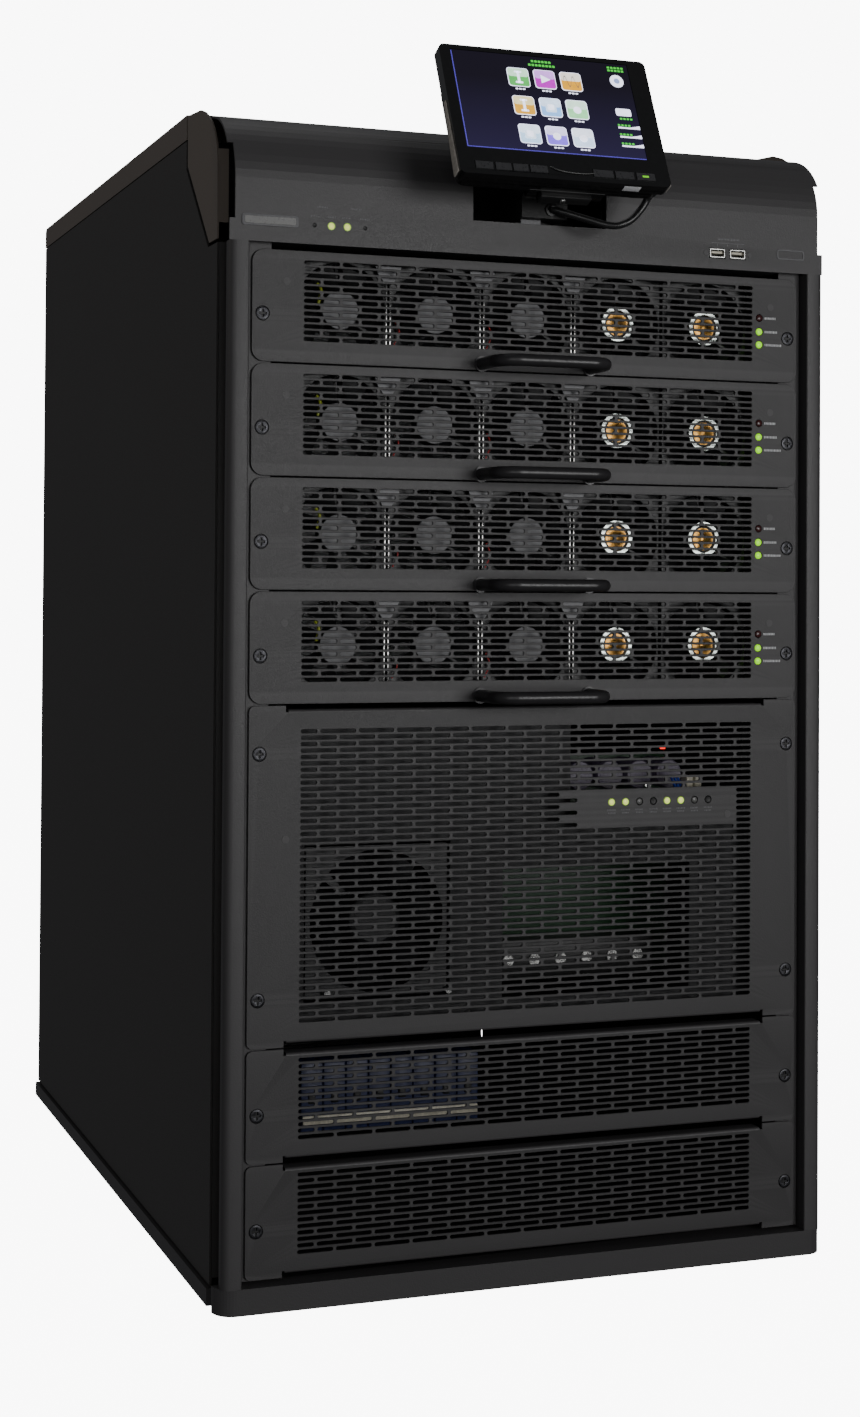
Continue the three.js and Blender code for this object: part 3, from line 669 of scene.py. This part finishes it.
def fan_bank(number):
    body, z = f"module_{number}", module_z(number) + 45.3
    parts = []
    front = PANEL_Y + 15
    for i in range(5):
        x = (i - 2) * 81.25 - 1
        rim = rounded_rect(x - 39.5, z - 39.5, x + 39.5, z + 39.5, 4, 3)
        parts.append(plate("shroud", [rim, circle(x, z, 37.6, 32)], front, 14, FAN_BLACK, None, 0.8, 2))
        parts += fan_blades(x, front + 7.5, z, 16, 36, 9, 7, FAN_BLACK)
        parts.append(knob("hub", [(0, 1), (14.6, 1), (15.6, 2), (15.8, 12), (0, 12)],
                            (x, front, z), FAN_BLACK, 28))
        if i < 3:
            parts.append(plate("hub_label", [circle(x, z, 15.2, 28)], front + 0.2, 0.7, HUB_LABEL, None, 0.2))
        else:
            parts.append(knob("hub_rim", [(10.5, 1), (11.5, -0.6), (14.4, -0.6), (15.4, 0.8), (13, 1.4)],
                                (x, front, z), HUB_SILVER, 32))
            parts.append(knob("hub_inner", [(0, -0.2), (3.2, -0.2), (4, 0.4), (9.5, 0.5), (9.5, 1.3), (0,
                1.3)], (x, front, z), COPPER, 24))
        for bar in range(3):
            angle = math.radians(30 + 120 * bar)
            place = Matrix.Translation((x * MM, 0, z * MM)) @ Matrix.Rotation(angle, 4, "Y")
            parts.append(block("strut", (13, front + 10, -1.5), (38, front + 13.5, 1.5), FAN_BLACK, None,
                0.5, place))
    for x in (-125, -44, 37):
        for shift in (-1.6, 1.6):
            parts.append(block("guide", (x + shift - 0.55, front - 6, z - 38), (x + shift + 0.55,
                front - 4.6, z + 24), BRIGHT_STEEL, None, 0.2))
        bracket = [(x - 11, z + 36), (x + 11, z + 36), (x + 9, z + 30), (x + 3.5, z + 22), (x - 3.5, z + 22),
                   (x - 9, z + 30)]
        parts.append(plate("bracket", [bracket[::-1]], front - 6.2, 1.2, HUB_LABEL, None, 0.2))
    parts.append(tube("wire", [(-184, front - 3, z + 20), (-181, front - 4, z + 14), (-183, front - 3,
        z + 4)], 1.3, YELLOW_WIRE, None, 8))
    parts.append(tube("wire", [(-118, front - 3, z - 8), (-115, front - 4, z - 16), (-119, front - 3,
        z - 26)], 0.7, RED_WIRE, None, 8))
    parts.append(tube("wire", [(-38, front - 3, z - 6), (-35, front - 4, z - 15), (-39, front - 3, z - 26)],
                      0.7, RED_WIRE, None, 8))
    whole = merge(f"{body}_fan_bank", parts, body)
    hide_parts(f"{body}_fans")


def lamp_dome(x, z, radius, material, out=0.9):
    return knob("lamp", [(0, -out), (radius * 0.55, -out * 0.8), (radius * 0.9, -out * 0.35), (radius, 0.3),
                           (radius, 4), (0, 4)], (x, PANEL_Y, z), material, 20)


def caption_bar(x, z, length, height, material, y=None, seed=1):
    """A line of plain dashes in the place of a printed caption."""
    parts, position, index = [], x, seed
    y = PANEL_Y if y is None else y
    while position < x + length:
        width = (1.0, 0.7, 1.2, 0.8)[index % 4]
        parts.append(block("dash", (position, y - 0.12, z - height / 2), (position + width, y + 0.1,
            z + height / 2), material, None, 0.05))
        position += width + 0.45
        index += 1
    return parts


def module_lamps(number):
    body, z = f"module_{number}", module_z(number)
    lamps = [lamp_dome(205.5, z + 54.4, 2.9, OFF_LAMP), lamp_dome(205.5, z + 42.8, 2.9, GREEN_LAMP),
             lamp_dome(205.5, z + 31.8, 2.9, GREEN_LAMP)]
    whole = merge(f"{body}_lamp_row", lamps, body)
    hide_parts(f"{body}_lamps")
    dashes = []
    for rise, length in ((54.4, 10), (42.8, 12), (31.8, 15)):
        dashes += caption_bar(210.5, z + rise, length, 1.9, LABEL_WHITE, seed=int(length))
    merge(f"{body}_captions", dashes, body)


def build_modules():
    for number in MODULES:
        module_panel(number)
        bow_handle(number)
        fan_bank(number)
        module_lamps(number)
        z = module_z(number) + SCREW_RISE
        cross_screws(f"module_{number}_screws", [(-SCREW_X, z), (SCREW_X, z)], f"module_{number}")
        dress(f"module_{number}_chassis", ZINC, 0.5)


build_modules()


# ---- static-switch section and fillers ----
def build_fixed_panels():
    lamp_z = BAY_Z + 361.3
    lamp_xs = [69.8 + 12.7 * i for i in range(8)]
    fixed_panel("switch_face", "switch_panel", 4, 6, 20.85, 46,
                (44, 184, BAY_Z + 339, BAY_Z + 372), [(x, lamp_z) for x in lamp_xs])
    fixed_panel("filler_upper", "filler_panel_upper", 2, 2, 19.3, 13)
    fixed_panel("filler_lower", "filler_panel_lower", 0, 2, 19.3, 13)
    places = [(x, unit_z(u) + r) for u, rises in ((0, [38.1]), (2, [38.1]), (4, [38.1, 228.6]))
              for r in rises for x in (-SCREW_X, SCREW_X)]
    cross_screws("fixed_panel_screws", places, "cabinet")
    # the near-black seats are recessed discs: painted shade inside empty lamp seats
    finishes = [PALE_LAMP, PALE_LAMP, GREY_LAMP, HOLE_SHADE_AND_BRISTLE_BLACK, PALE_LAMP, PALE_LAMP, GREY_LAMP, HOLE_SHADE_AND_BRISTLE_BLACK]
    lamps = []
    for x, finish in zip(lamp_xs, finishes):
        lamps.append(lamp_dome(x, lamp_z, 2.6, finish, 0.8 if finish is not HOLE_SHADE_AND_BRISTLE_BLACK else -0.4))
        if finish is PALE_LAMP:
            lamps.append(knob("rim", [(2.5, -0.15), (3.0, -0.15), (3.1, 0.2), (2.5, 0.4)], (x, PANEL_Y,
                lamp_z), LIME_RIM, 20))
    whole = merge("switch_lamp_row", lamps, "cabinet")
    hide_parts("switch_lamps")
    dashes = []
    for i, x in enumerate(lamp_xs):
        dashes += caption_bar(x - 4, lamp_z - 6.5, 7, 1.2, LABEL_GREY, seed=i)
        dashes += caption_bar(x - 3.4, lamp_z - 9, 6, 1.2, LABEL_GREY, seed=i + 2)
    merge("switch_captions", dashes, "cabinet")
    rivets = [knob("rivet", [(0, -0.25), (3, -0.25), (3, -0.1), (2.6, 0.05), (0, 0.05)], (x, PANEL_Y, z),
        PANEL_PAINT, 20) for x, z in ((-210.7, 362.4), (177, 371.2))]
    merge("switch_rivets", rivets, "cabinet")


build_fixed_panels()


def build_switch_interior():
    dress("switch_chassis", DARK_SHEET, 0.5)
    dress("switch_fan_frame", FAN_BLACK, 0.8)
    x, z, front = -128, 293, PANEL_Y + 22
    parts = fan_blades(x, front + 14, z, 22, 54, 20, 7, FAN_BLACK, 34)
    parts.append(knob("hub", [(0, 0.4), (20, 0.4), (22, 2), (22.2, 26), (0, 26)], (x, front, z),
        FAN_BLACK, 32))
    parts.append(plate("hub_label", [circle(x, z, 18, 28)], front, 0.5, DARK_SHEET, None, 0.15))
    rotor = merge("switch_rotor_blades", parts, "switch_rotor")
    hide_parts("switch_fan_rotor")
    bits = []
    back = PANEL_Y + 60
    for cx in (70, 98, 126, 154):
        bits.append(knob("can", [(0, 0), (11.5, 0), (12.5, 1.2), (12.5, 68), (0, 69)], (cx, back, 400),
            CAPACITOR, 28))
        bits.append(plate("can_top", [circle(cx, 400, 9, 24)], back - 0.3, 0.5, CAPACITOR, None, 0.1))
    bits.append(block("terminal_block", (-10, back, 232), (140, back + 40, 262), BLACK_PLASTIC, None, 1.5))
    for i in range(6):
        cx = 4 + i * 24
        bits.append(knob("terminal_screw", [(0, -1.5), (5, -1.5), (5.6, 0), (0, 0)], (cx, back, 247),
            BRIGHT_STEEL, 16))
    bits.append(block("board", (-15, back + 38, 226), (172, back + 40, 414), BOARD_GREEN, None, 0.4))
    whole = merge("switch_electronics", bits, "cabinet")
    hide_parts("switch_components")
    extras = [block("connector", (150 + i * 8, PANEL_Y + 21, 391), (156 + i * 8, PANEL_Y + 32, 402),
        CREAM_PLASTIC, None, 0.6) for i in range(2)]
    extras.append(block("glow", (126, PANEL_Y + 22, 424.5), (130.5, PANEL_Y + 24, 427.5), RED_GLOW, None,
        0.4))
    for i in range(3):
        extras.append(tube("wire", [(140 + i * 3, PANEL_Y + 30, 400), (141 + i * 3, PANEL_Y + 24, 392),
                                    (145 + i * 3, PANEL_Y + 26, 384), (150 + i * 3, PANEL_Y + 32, 378)],
                           1.1, BLUE_WIRE, None, 8))
    for sx, sz in ((-171, 238), (-67.5, 235), (-50, 215), (156, 214.5), (110, 395.5)):
        extras.append(knob("stud", [(0, -2), (2.6, -2), (3.2, -0.8), (3.2, 1), (0, 1)],
                             (sx, PANEL_Y + 15.5, sz), BRIGHT_STEEL, 16))
    merge("switch_wiring", extras, "cabinet")
    breakers = []
    for i in range(8):
        cx = -190 + i * 19
        breakers.append(block("breaker", (cx, PANEL_Y + 20, BAY_Z + 106), (cx + 18, PANEL_Y + 78,
            BAY_Z + 160), NAVY, None, 1))
        breakers.append(block("toggle", (cx + 6, PANEL_Y + 18.2, BAY_Z + 128), (cx + 12, PANEL_Y + 24,
            BAY_Z + 137), BLACK_PLASTIC, None, 1))
    breakers.append(block("busbar", (-189, PANEL_Y + 18.2, BAY_Z + 112), (-40, PANEL_Y + 20.5, BAY_Z + 119),
                          CREAM_PLASTIC, None, 0.5))
    whole = merge("breaker_bank", breakers, "cabinet")
    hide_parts("breaker_row")


build_switch_interior()


# ---- cabinet shell ----
def corner_arc(cx, cy, radius, start, end, steps=6):
    return [(cx + radius * math.cos(math.radians(start + (end - start) * i / steps)),
        cy + radius * math.sin(math.radians(start + (end - start) * i / steps))) for i in range(steps + 1)]


def build_front_frame():
    """Two posts: folded sheet with a rounded outer corner."""
    for side, node in ((-1, "post_left"), (1, "post_right")):
        plan = [(-246, -336), (-251, -336), (-251, -356.5), (-262, -356.5)]
        plan += corner_arc(-256, -360, 6, 180, 270) + corner_arc(-247.2, -364.8, 1.2, 270, 360, 3)
        plan = [(-side * x, y) for x, y in plan]
        post = extruded(f"{node}_section", plan, "z", 20.2, 826.3, FRAME_PAINT, "cabinet")
        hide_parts(node)


build_front_frame()


def build_shell():
    dress("bottom_rail", FRAME_PAINT, 2.2, 3)
    dress("base_frame", FRAME_PAINT, 1.2)
    for node in ("side_panel_left", "side_panel_right"):
        dress(node, SIDE_PAINT, 0.6)
    dress("top_cover", LID_PAINT, 1.0)
    dress("hood_cover", HOOD_PAINT, 0.5, 2, 50)
    for node in ("hood_cheek_left", "hood_cheek_right"):
        dress(node, CHEEK_PAINT, 0.5, 2, 50)
    dress("top_rail", FRAME_PAINT, 1.0)
    dress("rack_rail_left", FRAME_PAINT, 0.4)
    dress("rack_rail_right", FRAME_PAINT, 0.4)
    # the pocket's near-black finish is darker than the hood paint: partly its own black, partly painted shade
    # of the recess under the monitor
    dress("monitor_pocket", POCKET_BLACK_AND_SHADE, 0.4)
    for node in ("shelf_frame_left", "shelf_frame_right"):
        dress(node, ZINC, 0.3)


build_shell()


def build_liners():
    """Sheet flanges behind most seams, against daylight showing through the cabinet."""
    for side in (-1, 1):
        inner, outer = sorted((side * 246.5, side * 261.6))
        block("front_flange", (inner, -334.6, 21), (outer, -332.8, 829), SIDE_PAINT, "cabinet", 0.3)
        inner, outer = sorted((side * 260.2, side * 261.7))
        block("side_sill", (inner, -332.5, 13.6), (outer, 363.8, 30), SIDE_PAINT, "cabinet", 0.3)
        block("side_header", (inner, -236, 915), (outer, 363.8, 927.7), SIDE_PAINT, "cabinet", 0.3)
        inner, outer = sorted((side * 247, side * 256.5))
        block("hood_gap_plate", (inner, -361.5, 827), (outer, -336, 828.2), DARK_SHEET, "cabinet", 0.3)
    block("rear_sill", (-260, 362.6, 13.6), (260, 364.2, 30), SIDE_PAINT, "cabinet", 0.3)
    block("rear_header", (-260, 362.6, 915), (260, 364.2, 927.7), SIDE_PAINT, "cabinet", 0.3)
    block("hood_floor", (-224, -361.5, 827), (224, -300, 828.2), DARK_SHEET, "cabinet", 0.3)


build_liners()


def build_rear():
    """Rear sheet with an exhaust grille behind each module and the switch section, and the cable entry."""
    holes = [rounded_rect(-70, 36, 70, 96, 6, 5)[::-1]]
    for number in MODULES:
        for row in range(9):
            z = module_z(number) + 16 + row * 7
            holes += [rounded_rect(x, z - 2, x + 34, z + 2, 1.99, 3) for x in range(-205, 180, 41)]
    for row in range(26):
        z = unit_z(4) + 45 + row * 7
        holes += [rounded_rect(x, z - 2, x + 34, z + 2, 1.99, 3) for x in range(-164, 140, 41)]
    sheet = plate("rear_sheet", [rounded_rect(-261.5, 16, 261.5, 926.5, 3, 3)] + holes, 364.5, 1.5,
        SIDE_PAINT, "cabinet", 0.25)
    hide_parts("rear_panel")
    plate("cable_entry_trim",
        [rounded_rect(-72.5, 33.5, 72.5, 98.5, 7, 5), rounded_rect(-69, 37, 69, 95, 5, 5)], 363.6, 3.6,
        BLACK_PLASTIC, "cabinet", 0.8, 2)
    bristles = []
    for i in range(46):
        x = -68.5 + i * 3
        lean = 0.6 * math.sin(i * 2.4)
        bristles.append(block("tuft", (x, 364.6 + lean, 66.2 + lean), (x + 2.9, 365.8 + lean, 95.5),
            HOLE_SHADE_AND_BRISTLE_BLACK, None, 0.3))
        bristles.append(block("tuft", (x, 364.6 - lean, 36.5), (x + 2.9, 365.8 - lean, 65.8 + lean),
            HOLE_SHADE_AND_BRISTLE_BLACK, None, 0.3))
    bristles.append(block("brush_backing", (-68.8, 363.9, 36.8), (68.8, 364.4, 95.2), HOLE_SHADE_AND_BRISTLE_BLACK, None, 0.2))
    merge("cable_entry_brush", bristles, "cabinet")
    screws = [knob("screw", [(0, 0), (4, 0), (4, 1), (2.8, 2), (0, 2)], (x, 366, z), SCREW_STEEL, 16)
              for x in (-252, 252) for z in (30, 250, 470, 690, 912)]
    merge("rear_screws", screws, "cabinet")


build_rear()


# ---- hood details ----
def build_hood_details():
    face = HOOD_FACE
    parts = []
    # the two near-black spots are small recessed discs: painted shade inside holes in the hood
    for x, finish in ((-192.8, HOLE_SHADE_AND_BRISTLE_BLACK), (-178.9, PALE_LAMP), (-165.7, PALE_LAMP), (-150.8, HOLE_SHADE_AND_BRISTLE_BLACK)):
        radius = 2.5 if finish is PALE_LAMP else 1.7
        out = 0.8 if finish is PALE_LAMP else -0.6
        parts.append(knob("lamp", [(0, -out), (radius * 0.7, -out * 0.7), (radius, 0.2), (radius, 4), (0, 4)],
                            (x, face, 841.5), finish, 20))
        if finish is PALE_LAMP:
            parts.append(knob("rim", [(2.5, -0.2), (3.1, -0.2), (3.2, 0.1), (2.5, 0.4)], (x, face, 841.5),
                LIME_RIM, 20))
        else:
            parts.append(knob("hole_ring", [(1.7, -0.05), (2.9, -0.05), (2.9, 0.6), (1.7, 0.6)], (x, face,
                841.5), HOOD_PAINT, 20))
    whole = merge("hood_lamp_row", parts, "cabinet")
    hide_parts("hood_lamps")
    marks = []
    for i, x in enumerate((-196, -183, -170, -155)):
        marks += caption_bar(x, 848.5, 7, 1.1, LABEL_GREY, face, i)
    for x in (-191, -163):
        marks += caption_bar(x, 856, 9, 1.3, LABEL_GREY, face, 3)
    marks += caption_bar(162, 851.5, 20, 1.8, LABEL_GREY, face, 1)
    marks.append(block("rule", (156, face - 0.1, 847.9), (187, face + 0.1, 848.5), LABEL_GREY, None, 0.05))
    for x in (161.5, 180.5, 171):
        marks.append(block("tick", (x - 0.3, face - 0.1, 845.4), (x + 0.3, face + 0.1, 847.6), LABEL_GREY,
            None, 0.05))
    merge("hood_captions", marks, "cabinet")
    badge = plate("name_badge", [rounded_rect(-252, 838.5, -206, 847.5, 2, 4)], face - 0.8, 1.0,
        LABEL_GREY, None, 0.3, 2)
    inlay = plate("badge_inlay", [rounded_rect(-250, 840, -208, 846, 1.2, 4)], face - 1.0, 0.6, GREY_LAMP,
        None, 0.2)
    plaque = plate("side_plaque",
        [rounded_rect(218, 837.5, 244, 846, 2, 4), rounded_rect(219.2, 838.7, 242.8, 844.8, 1, 4)],
        face - 0.5, 0.7, LABEL_GREY, None, 0.2)
    merge("plain_badges", [badge, inlay, plaque], "cabinet")
    ports = []
    for x in (161.5, 180.5):
        shell = [rounded_rect(x - 7.1, 835.8, x + 7.1, 843.2, 1, 3), rounded_rect(x - 6.2, 836.7, x + 6.2,
            842.3, 0.5, 2)]
        ports.append(plate("shell", shell, face - 0.2, 11, BRIGHT_STEEL, None, 0.15))
        ports.append(block("tongue", (x - 5.2, face + 1, 839.4), (x + 5.2, face + 10, 841.4),
            CREAM_PLASTIC, None, 0.3))
        ports.append(block("back", (x - 6.4, face + 9, 836.5), (x + 6.4, face + 10.6, 842.5),
            BLACK_PLASTIC, None, 0.2))
    for x in (150.5, 191.5):
        ports.append(knob("port_screw", [(0, -0.3), (2, -0.3), (2.3, 0.1), (0, 0.1)], (x, face, 839.5),
            HOOD_PAINT, 16))
    whole = merge("usb_sockets", ports, "cabinet")
    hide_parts("usb_ports")
    block("pocket_patch", (-17.5, -364.4, 853.2), (0, -363.2, 857), LABEL_GREY, "cabinet", 0.3)


build_hood_details()


# ---- monitor ----
TILT = math.radians(23.9)
FACE = Matrix.Translation(Vector((-8.5, -409.5, 932.3)) * MM) @ Matrix.Rotation(-TILT, 4, "X")
HEAD = "monitor_head"


def screen_glow():
    """Dark navy display, bluer and paler towards its lower edge."""
    material, tree, shader = new_material("screen_picture", (0.002, 0.002, 0.006), 0.12)
    coordinates = tree.nodes.new("ShaderNodeTexCoord")
    split = tree.nodes.new("ShaderNodeSeparateXYZ")
    tree.links.new(coordinates.outputs["Generated"], split.inputs["Vector"])
    tone = ramp(tree, split.outputs["Z"], (0.023, 0.018, 0.055), (0.009, 0.007, 0.014), 0.0, 0.75)
    tree.links.new(tone, shader.inputs["Emission Color"])
    shader.inputs["Emission Strength"].default_value = 1.0
    return material


def draw(name, loop, material, depth=0.25, lift=0.0):
    """A thin shape on the display, from points in the monitor's own x and z."""
    return plate(name, [loop], -0.05 - lift, depth, material, None, 0.03, 1, 40, FACE)


ICON_DEPTH = 1.7


def icon_shapes():
    green, white = glowing("ui_green", (0.06, 0.62, 0.05), 1.1), glowing("ui_white", (0.78, 0.80, 0.97), 2.4)
    tints = [((0.20, 0.55, 0.22), (0.62, 0.80, 0.66)), ((0.60, 0.02, 0.62), (0.70, 0.45, 0.85)),
             ((0.75, 0.48, 0.08), (0.80, 0.76, 0.70)), ((0.75, 0.50, 0.10), (0.80, 0.74, 0.50)),
             ((0.40, 0.62, 0.90), (0.72, 0.82, 0.95)), ((0.45, 0.78, 0.50), (0.70, 0.86, 0.76)),
             ((0.60, 0.76, 0.92), (0.78, 0.86, 0.96)), ((0.38, 0.28, 0.85), (0.76, 0.74, 0.95)),
             ((0.70, 0.80, 0.95), (0.82, 0.86, 0.96))]
    parts = []
    for index, (low, high) in enumerate(tints):
        x = -25.7 + 22.9 * (index % 3) + 0.3 * (index // 3)
        z = 34.2 - 27.0 * (index // 3)
        low, high = [tuple(c ** ICON_DEPTH for c in tone) for tone in (low, high)]
        base, gloss = glowing(f"ui_low_{index}", low, 1.8), glowing(f"ui_high_{index}", high, 1.9)
        parts.append(draw("rim", rounded_rect(x - 9.3, z - 9, x + 9.3, z + 9, 2.6), white))
        parts.append(draw("icon", rounded_rect(x - 8.7, z - 8.4, x + 8.7, z + 8.4, 2.2), base, lift=0.12))
        parts.append(draw("gloss", rounded_rect(x - 8.7, z + 0.5, x + 8.7, z + 8.4, 2.2), gloss, lift=0.2))
        parts += icon_symbol(index, x, z, white, gloss)
        parts += [draw("caption", rounded_rect(x - 4.2 + i * 3, z - 11.8, x - 2 + i * 3, z - 10.6, 0.3),
            white) for i in range(3)]
    for z, half in ((51.3, 9), (47.6, 12)):
        parts += [draw("heading", rounded_rect(-3 + i, z - 1, -3 + i + 2.2, z + 1, 0.3), green)
                  for i in range(-half, half, 3)]
    for z in (52, 49.2):
        parts += [draw("clock", rounded_rect(55 + i, z - 0.9, 57.2 + i, z + 0.9, 0.3),
            green) for i in range(0, 14, 3)]
    parts.append(draw("dial", circle(61.3, 39, 6, 28), white))
    parts.append(draw("dial_core", circle(61.3, 39, 2.6, 20), glowing("ui_core", (0.35, 0.45, 0.8), 0.9),
        lift=0.12))
    parts.append(draw("cell", rounded_rect(54.6, 5, 68, 12, 1.4), white))
    parts += [draw("cell_caption", rounded_rect(57 + i, 1.4, 59 + i, 3, 0.3), green) for i in range(0, 11, 3)]
    for z in (-4.2, -13, -21.8):
        parts += [draw("level_tag", rounded_rect(54 + i, z - 0.8, 56 + i, z + 0.9, 0.3),
            green) for i in range(0, 11, 3)]
        parts.append(draw("level", [(54, z - 3), (73, z - 3), (73, z + 0.2), (64, z - 1.8), (54,
            z - 1.6)], white))
    blue = glowing("ui_edge", (0.12, 0.09, 0.60), 0.7)
    parts.append(draw("edge_left", rounded_rect(-80.5, -35.8, -79.8, 55, 0.3), blue))
    parts.append(draw("edge_bottom", rounded_rect(-80.5, -35.9, 72.9, -35.3, 0.25), blue))
    return parts


def icon_symbol(index, x, z, white, pale):
    dark = glowing("ui_ink", (0.20, 0.16, 0.16), 0.7)
    if index == 1:
        return [draw("play", [(x - 3.4, z - 4), (x + 4.6, z), (x - 3.4, z + 4)], white, lift=0.3)]
    if index == 2:
        wave = [(x - 7 + 14 * i / 24, z + 5 * math.sin(4 * math.pi * i / 24)) for i in range(25)]
        upper = [(a, b + 0.5) for a, b in wave]
        lower = [(a, b - 0.5) for a, b in wave[::-1]]
        return [draw("wave", lower[::-1] + upper[::-1], dark, lift=0.3)]
    if index in (0, 3):
        bar = rounded_rect(x - 1.1, z - 5.5, x + 1.1, z + 5.5, 0.6)
        caps = [rounded_rect(x - 3.2, z + s * 5 - 0.9, x + 3.2, z + s * 5 + 0.9, 0.6) for s in (-1, 1)]
        return [draw("mark", loop, white, lift=0.3) for loop in [bar] + caps]
    if index in (4, 6):
        return [draw("mark", rounded_rect(x - 4.6, z - 4.6, x + 4.6, z + 4.6, 1.2), pale, lift=0.28),
                draw("mark", rounded_rect(x - 2.8, z - 2.6, x + 2.8, z + 2.8, 1), white, lift=0.36)]
    return [draw("mark", circle(x, z - 0.5, 3.4, 20), white, lift=0.3)]


def build_monitor():
    dress("monitor_shell", GLOSS_BLACK, 1.0, 3)
    # the arm takes the pocket's near-black finish: partly its own black, partly painted shade under the monitor
    # head that keeps its lit front dark
    dress("monitor_arm", POCKET_BLACK_AND_SHADE, 1.0)
    dress("monitor_post", BLACK_PLASTIC, 0.8)
    dress("monitor_screen", screen_glow(), 0.0)
    merge("screen_picture_elements", icon_shapes(), HEAD)
    for i in range(1, 8):
        dress(f"monitor_key_{i}", KEY_BLACK, 0.9, 3)
    plate("power_lamp", [rounded_rect(65.5, -53.6, 71, -52, 0.5)], -1.0, 0.3, glowing(
        "key_glow", (0.20, 0.75, 0.02), 0.7), "monitor_key_7", 0.05, 1, 40, FACE)
    swoosh = [(-13.5, -0.5, -49.6), (-9, -0.8, -52), (-2, -0.9, -53.8), (8, -0.9, -54.6), (18, -0.8, -54.2),
              (24, -0.5, -53)]
    tube("bezel_swoosh", swoosh, 0.35, GREY_LAMP, HEAD, 8, 6, FACE)
    trims = []
    for side in (-1, 1):
        profile = [(2.2, -58), (11.2, -58), (9, -20), (6.4, 8), (3, 8)]
        trims.append(side_trim(side, profile))
    merge("monitor_side_trims", trims, HEAD)
    block("underside_label", (50, 2.6, -61.05), (64.5, 8.6, -60.7), LABEL_WHITE, HEAD, 0.1, FACE)
    block("bracket_tab", (-14, 21.6, -62.5), (30, 31, -57), BLACK_PLASTIC, HEAD, 1.2, FACE)
    turned("bracket_screw", [(0, -1.2), (2.2, -1.2), (2.6, -0.4), (2.6, 0.4), (0, 0.4)], (6, 26, -62.6),
        (0, 0, 1), BRIGHT_STEEL, HEAD, 16, FACE)


def side_trim(side, profile):
    """Silver ridged strip on one side of the monitor, thicker towards the bottom."""
    x_in, x_out = side * 90.0, side * 91.2
    strip = extruded("trim", profile, "x", x_in, x_out, SILVER_PLASTIC, None, 0.3, FACE)
    near, far = sorted((x_out, x_out + side * 0.4))
    ridges = [block("ridge", (near, 3.4, -54 + i * 5), (far, 7.4 + (12 - i) * 0.2, -52.6 + i * 5),
                    SILVER_PLASTIC, None, 0.3, FACE) for i in range(11)]
    return merge("trim", [strip] + ridges, HEAD)


build_monitor()

CABLE_ROUTE = [
    (76, -409.2, 877.5), (76.5, -405.2, 875.7), (75.8, -402, 871.4), (71.2, -400.6, 863.8), (62.5, -400, 855),
    (52, -398, 850.6), (43, -395, 851.2), (34.7, -391, 854), (25.5, -386, 857.4), (17, -382, 860.4),
    (10, -378.6, 862.8), (6.2, -376.2, 864.2), (5.6, -373.2, 864.6)]
CABLE_DIAMETER = 6


def build_cable():
    path = smooth_path(CABLE_ROUTE, 8)
    cable = link("monitor_lead", tube_mesh(path, CABLE_DIAMETER / 2 * MM, 16), CABLE_JACKET, None, 60)
    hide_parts("monitor_cable")
    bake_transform(cable)
    collar = [(3.1, 0), (5.2, 0), (5.0, 1.5), (4.2, 3.2), (3.1, 3.4)]
    turned("lead_collar", collar, (84.5, 21.8, -50), (0, 1, 0), BLACK_PLASTIC, HEAD, 20, FACE)
    turned("lead_grommet", [(3.1, 0), (5, 0), (5.2, -1.2), (3.1, -1.6)], (5.6, -372.3, 864.6), (0, 1, 0),
        BLACK_PLASTIC, "monitor_arm", 20)


build_cable()


# ---- stage and light ----
BACKDROP = 9.0


def build_stage():
    material, _, shader = new_material("floor", (0.90, 0.90, 0.90), 0.9)
    shader.inputs["Emission Color"].default_value = (1, 1, 1, 1)
    shader.inputs["Emission Strength"].default_value = BACKDROP
    mesh = bpy.data.meshes.new("floor")
    size = 14
    mesh.from_pydata([(-size, -size, -0.0005), (size, -size, -0.0005), (size, size, -0.0005), (-size,
        size, -0.0005)], [], [(0, 1, 2, 3)])
    mesh.materials.append(material)
    floor = bpy.data.objects.new("floor", mesh)
    bpy.context.scene.collection.objects.link(floor)
    floor.visible_diffuse = False
    floor.visible_glossy = False
    world = bpy.data.worlds.new("studio")
    bpy.context.scene.world = world
    world.use_nodes = True
    nodes, links = world.node_tree.nodes, world.node_tree.links
    seen, lit = nodes["Background"], nodes.new("ShaderNodeBackground")
    seen.inputs["Strength"].default_value = BACKDROP
    seen.inputs["Color"].default_value = (1, 1, 1, 1)
    lit.inputs["Color"].default_value = (0.93, 0.95, 1.0, 1)
    lit.inputs["Strength"].default_value = 0.10
    path, mix = nodes.new("ShaderNodeLightPath"), nodes.new("ShaderNodeMixShader")
    links.new(path.outputs["Is Camera Ray"], mix.inputs["Fac"])
    links.new(lit.outputs["Background"], mix.inputs[1])
    links.new(seen.outputs["Background"], mix.inputs[2])
    links.new(mix.outputs["Shader"], nodes["World Output"].inputs["Surface"])


def area_light(name, place, target, size, power, color=(1, 1, 1)):
    data = bpy.data.lights.new(name, "AREA")
    data.shape = "RECTANGLE"
    data.size, data.size_y = size
    data.energy = power
    data.color = color
    light = bpy.data.objects.new(name, data)
    light.location = place
    light.rotation_euler = (Vector(target) - Vector(place)).to_track_quat("-Z", "Y").to_euler()
    bpy.context.scene.collection.objects.link(light)


build_stage()
area_light("key", (1.1, -3.4, 0.75), (0, -0.3, 0.55), (1.6, 1.3), 40)
area_light("fill", (-1.6, -3.6, 0.8), (0, -0.3, 0.55), (1.6, 1.4), 13)
area_light("side", (-3.4, 0.9, 2.2), (-0.27, 0.1, 0.9), (1.2, 1.2), 9, (1.0, 0.93, 0.85))
area_light("top", (0, 0.5, 3.2), (0, 0.2, 0.9), (1.6, 1.6), 6)
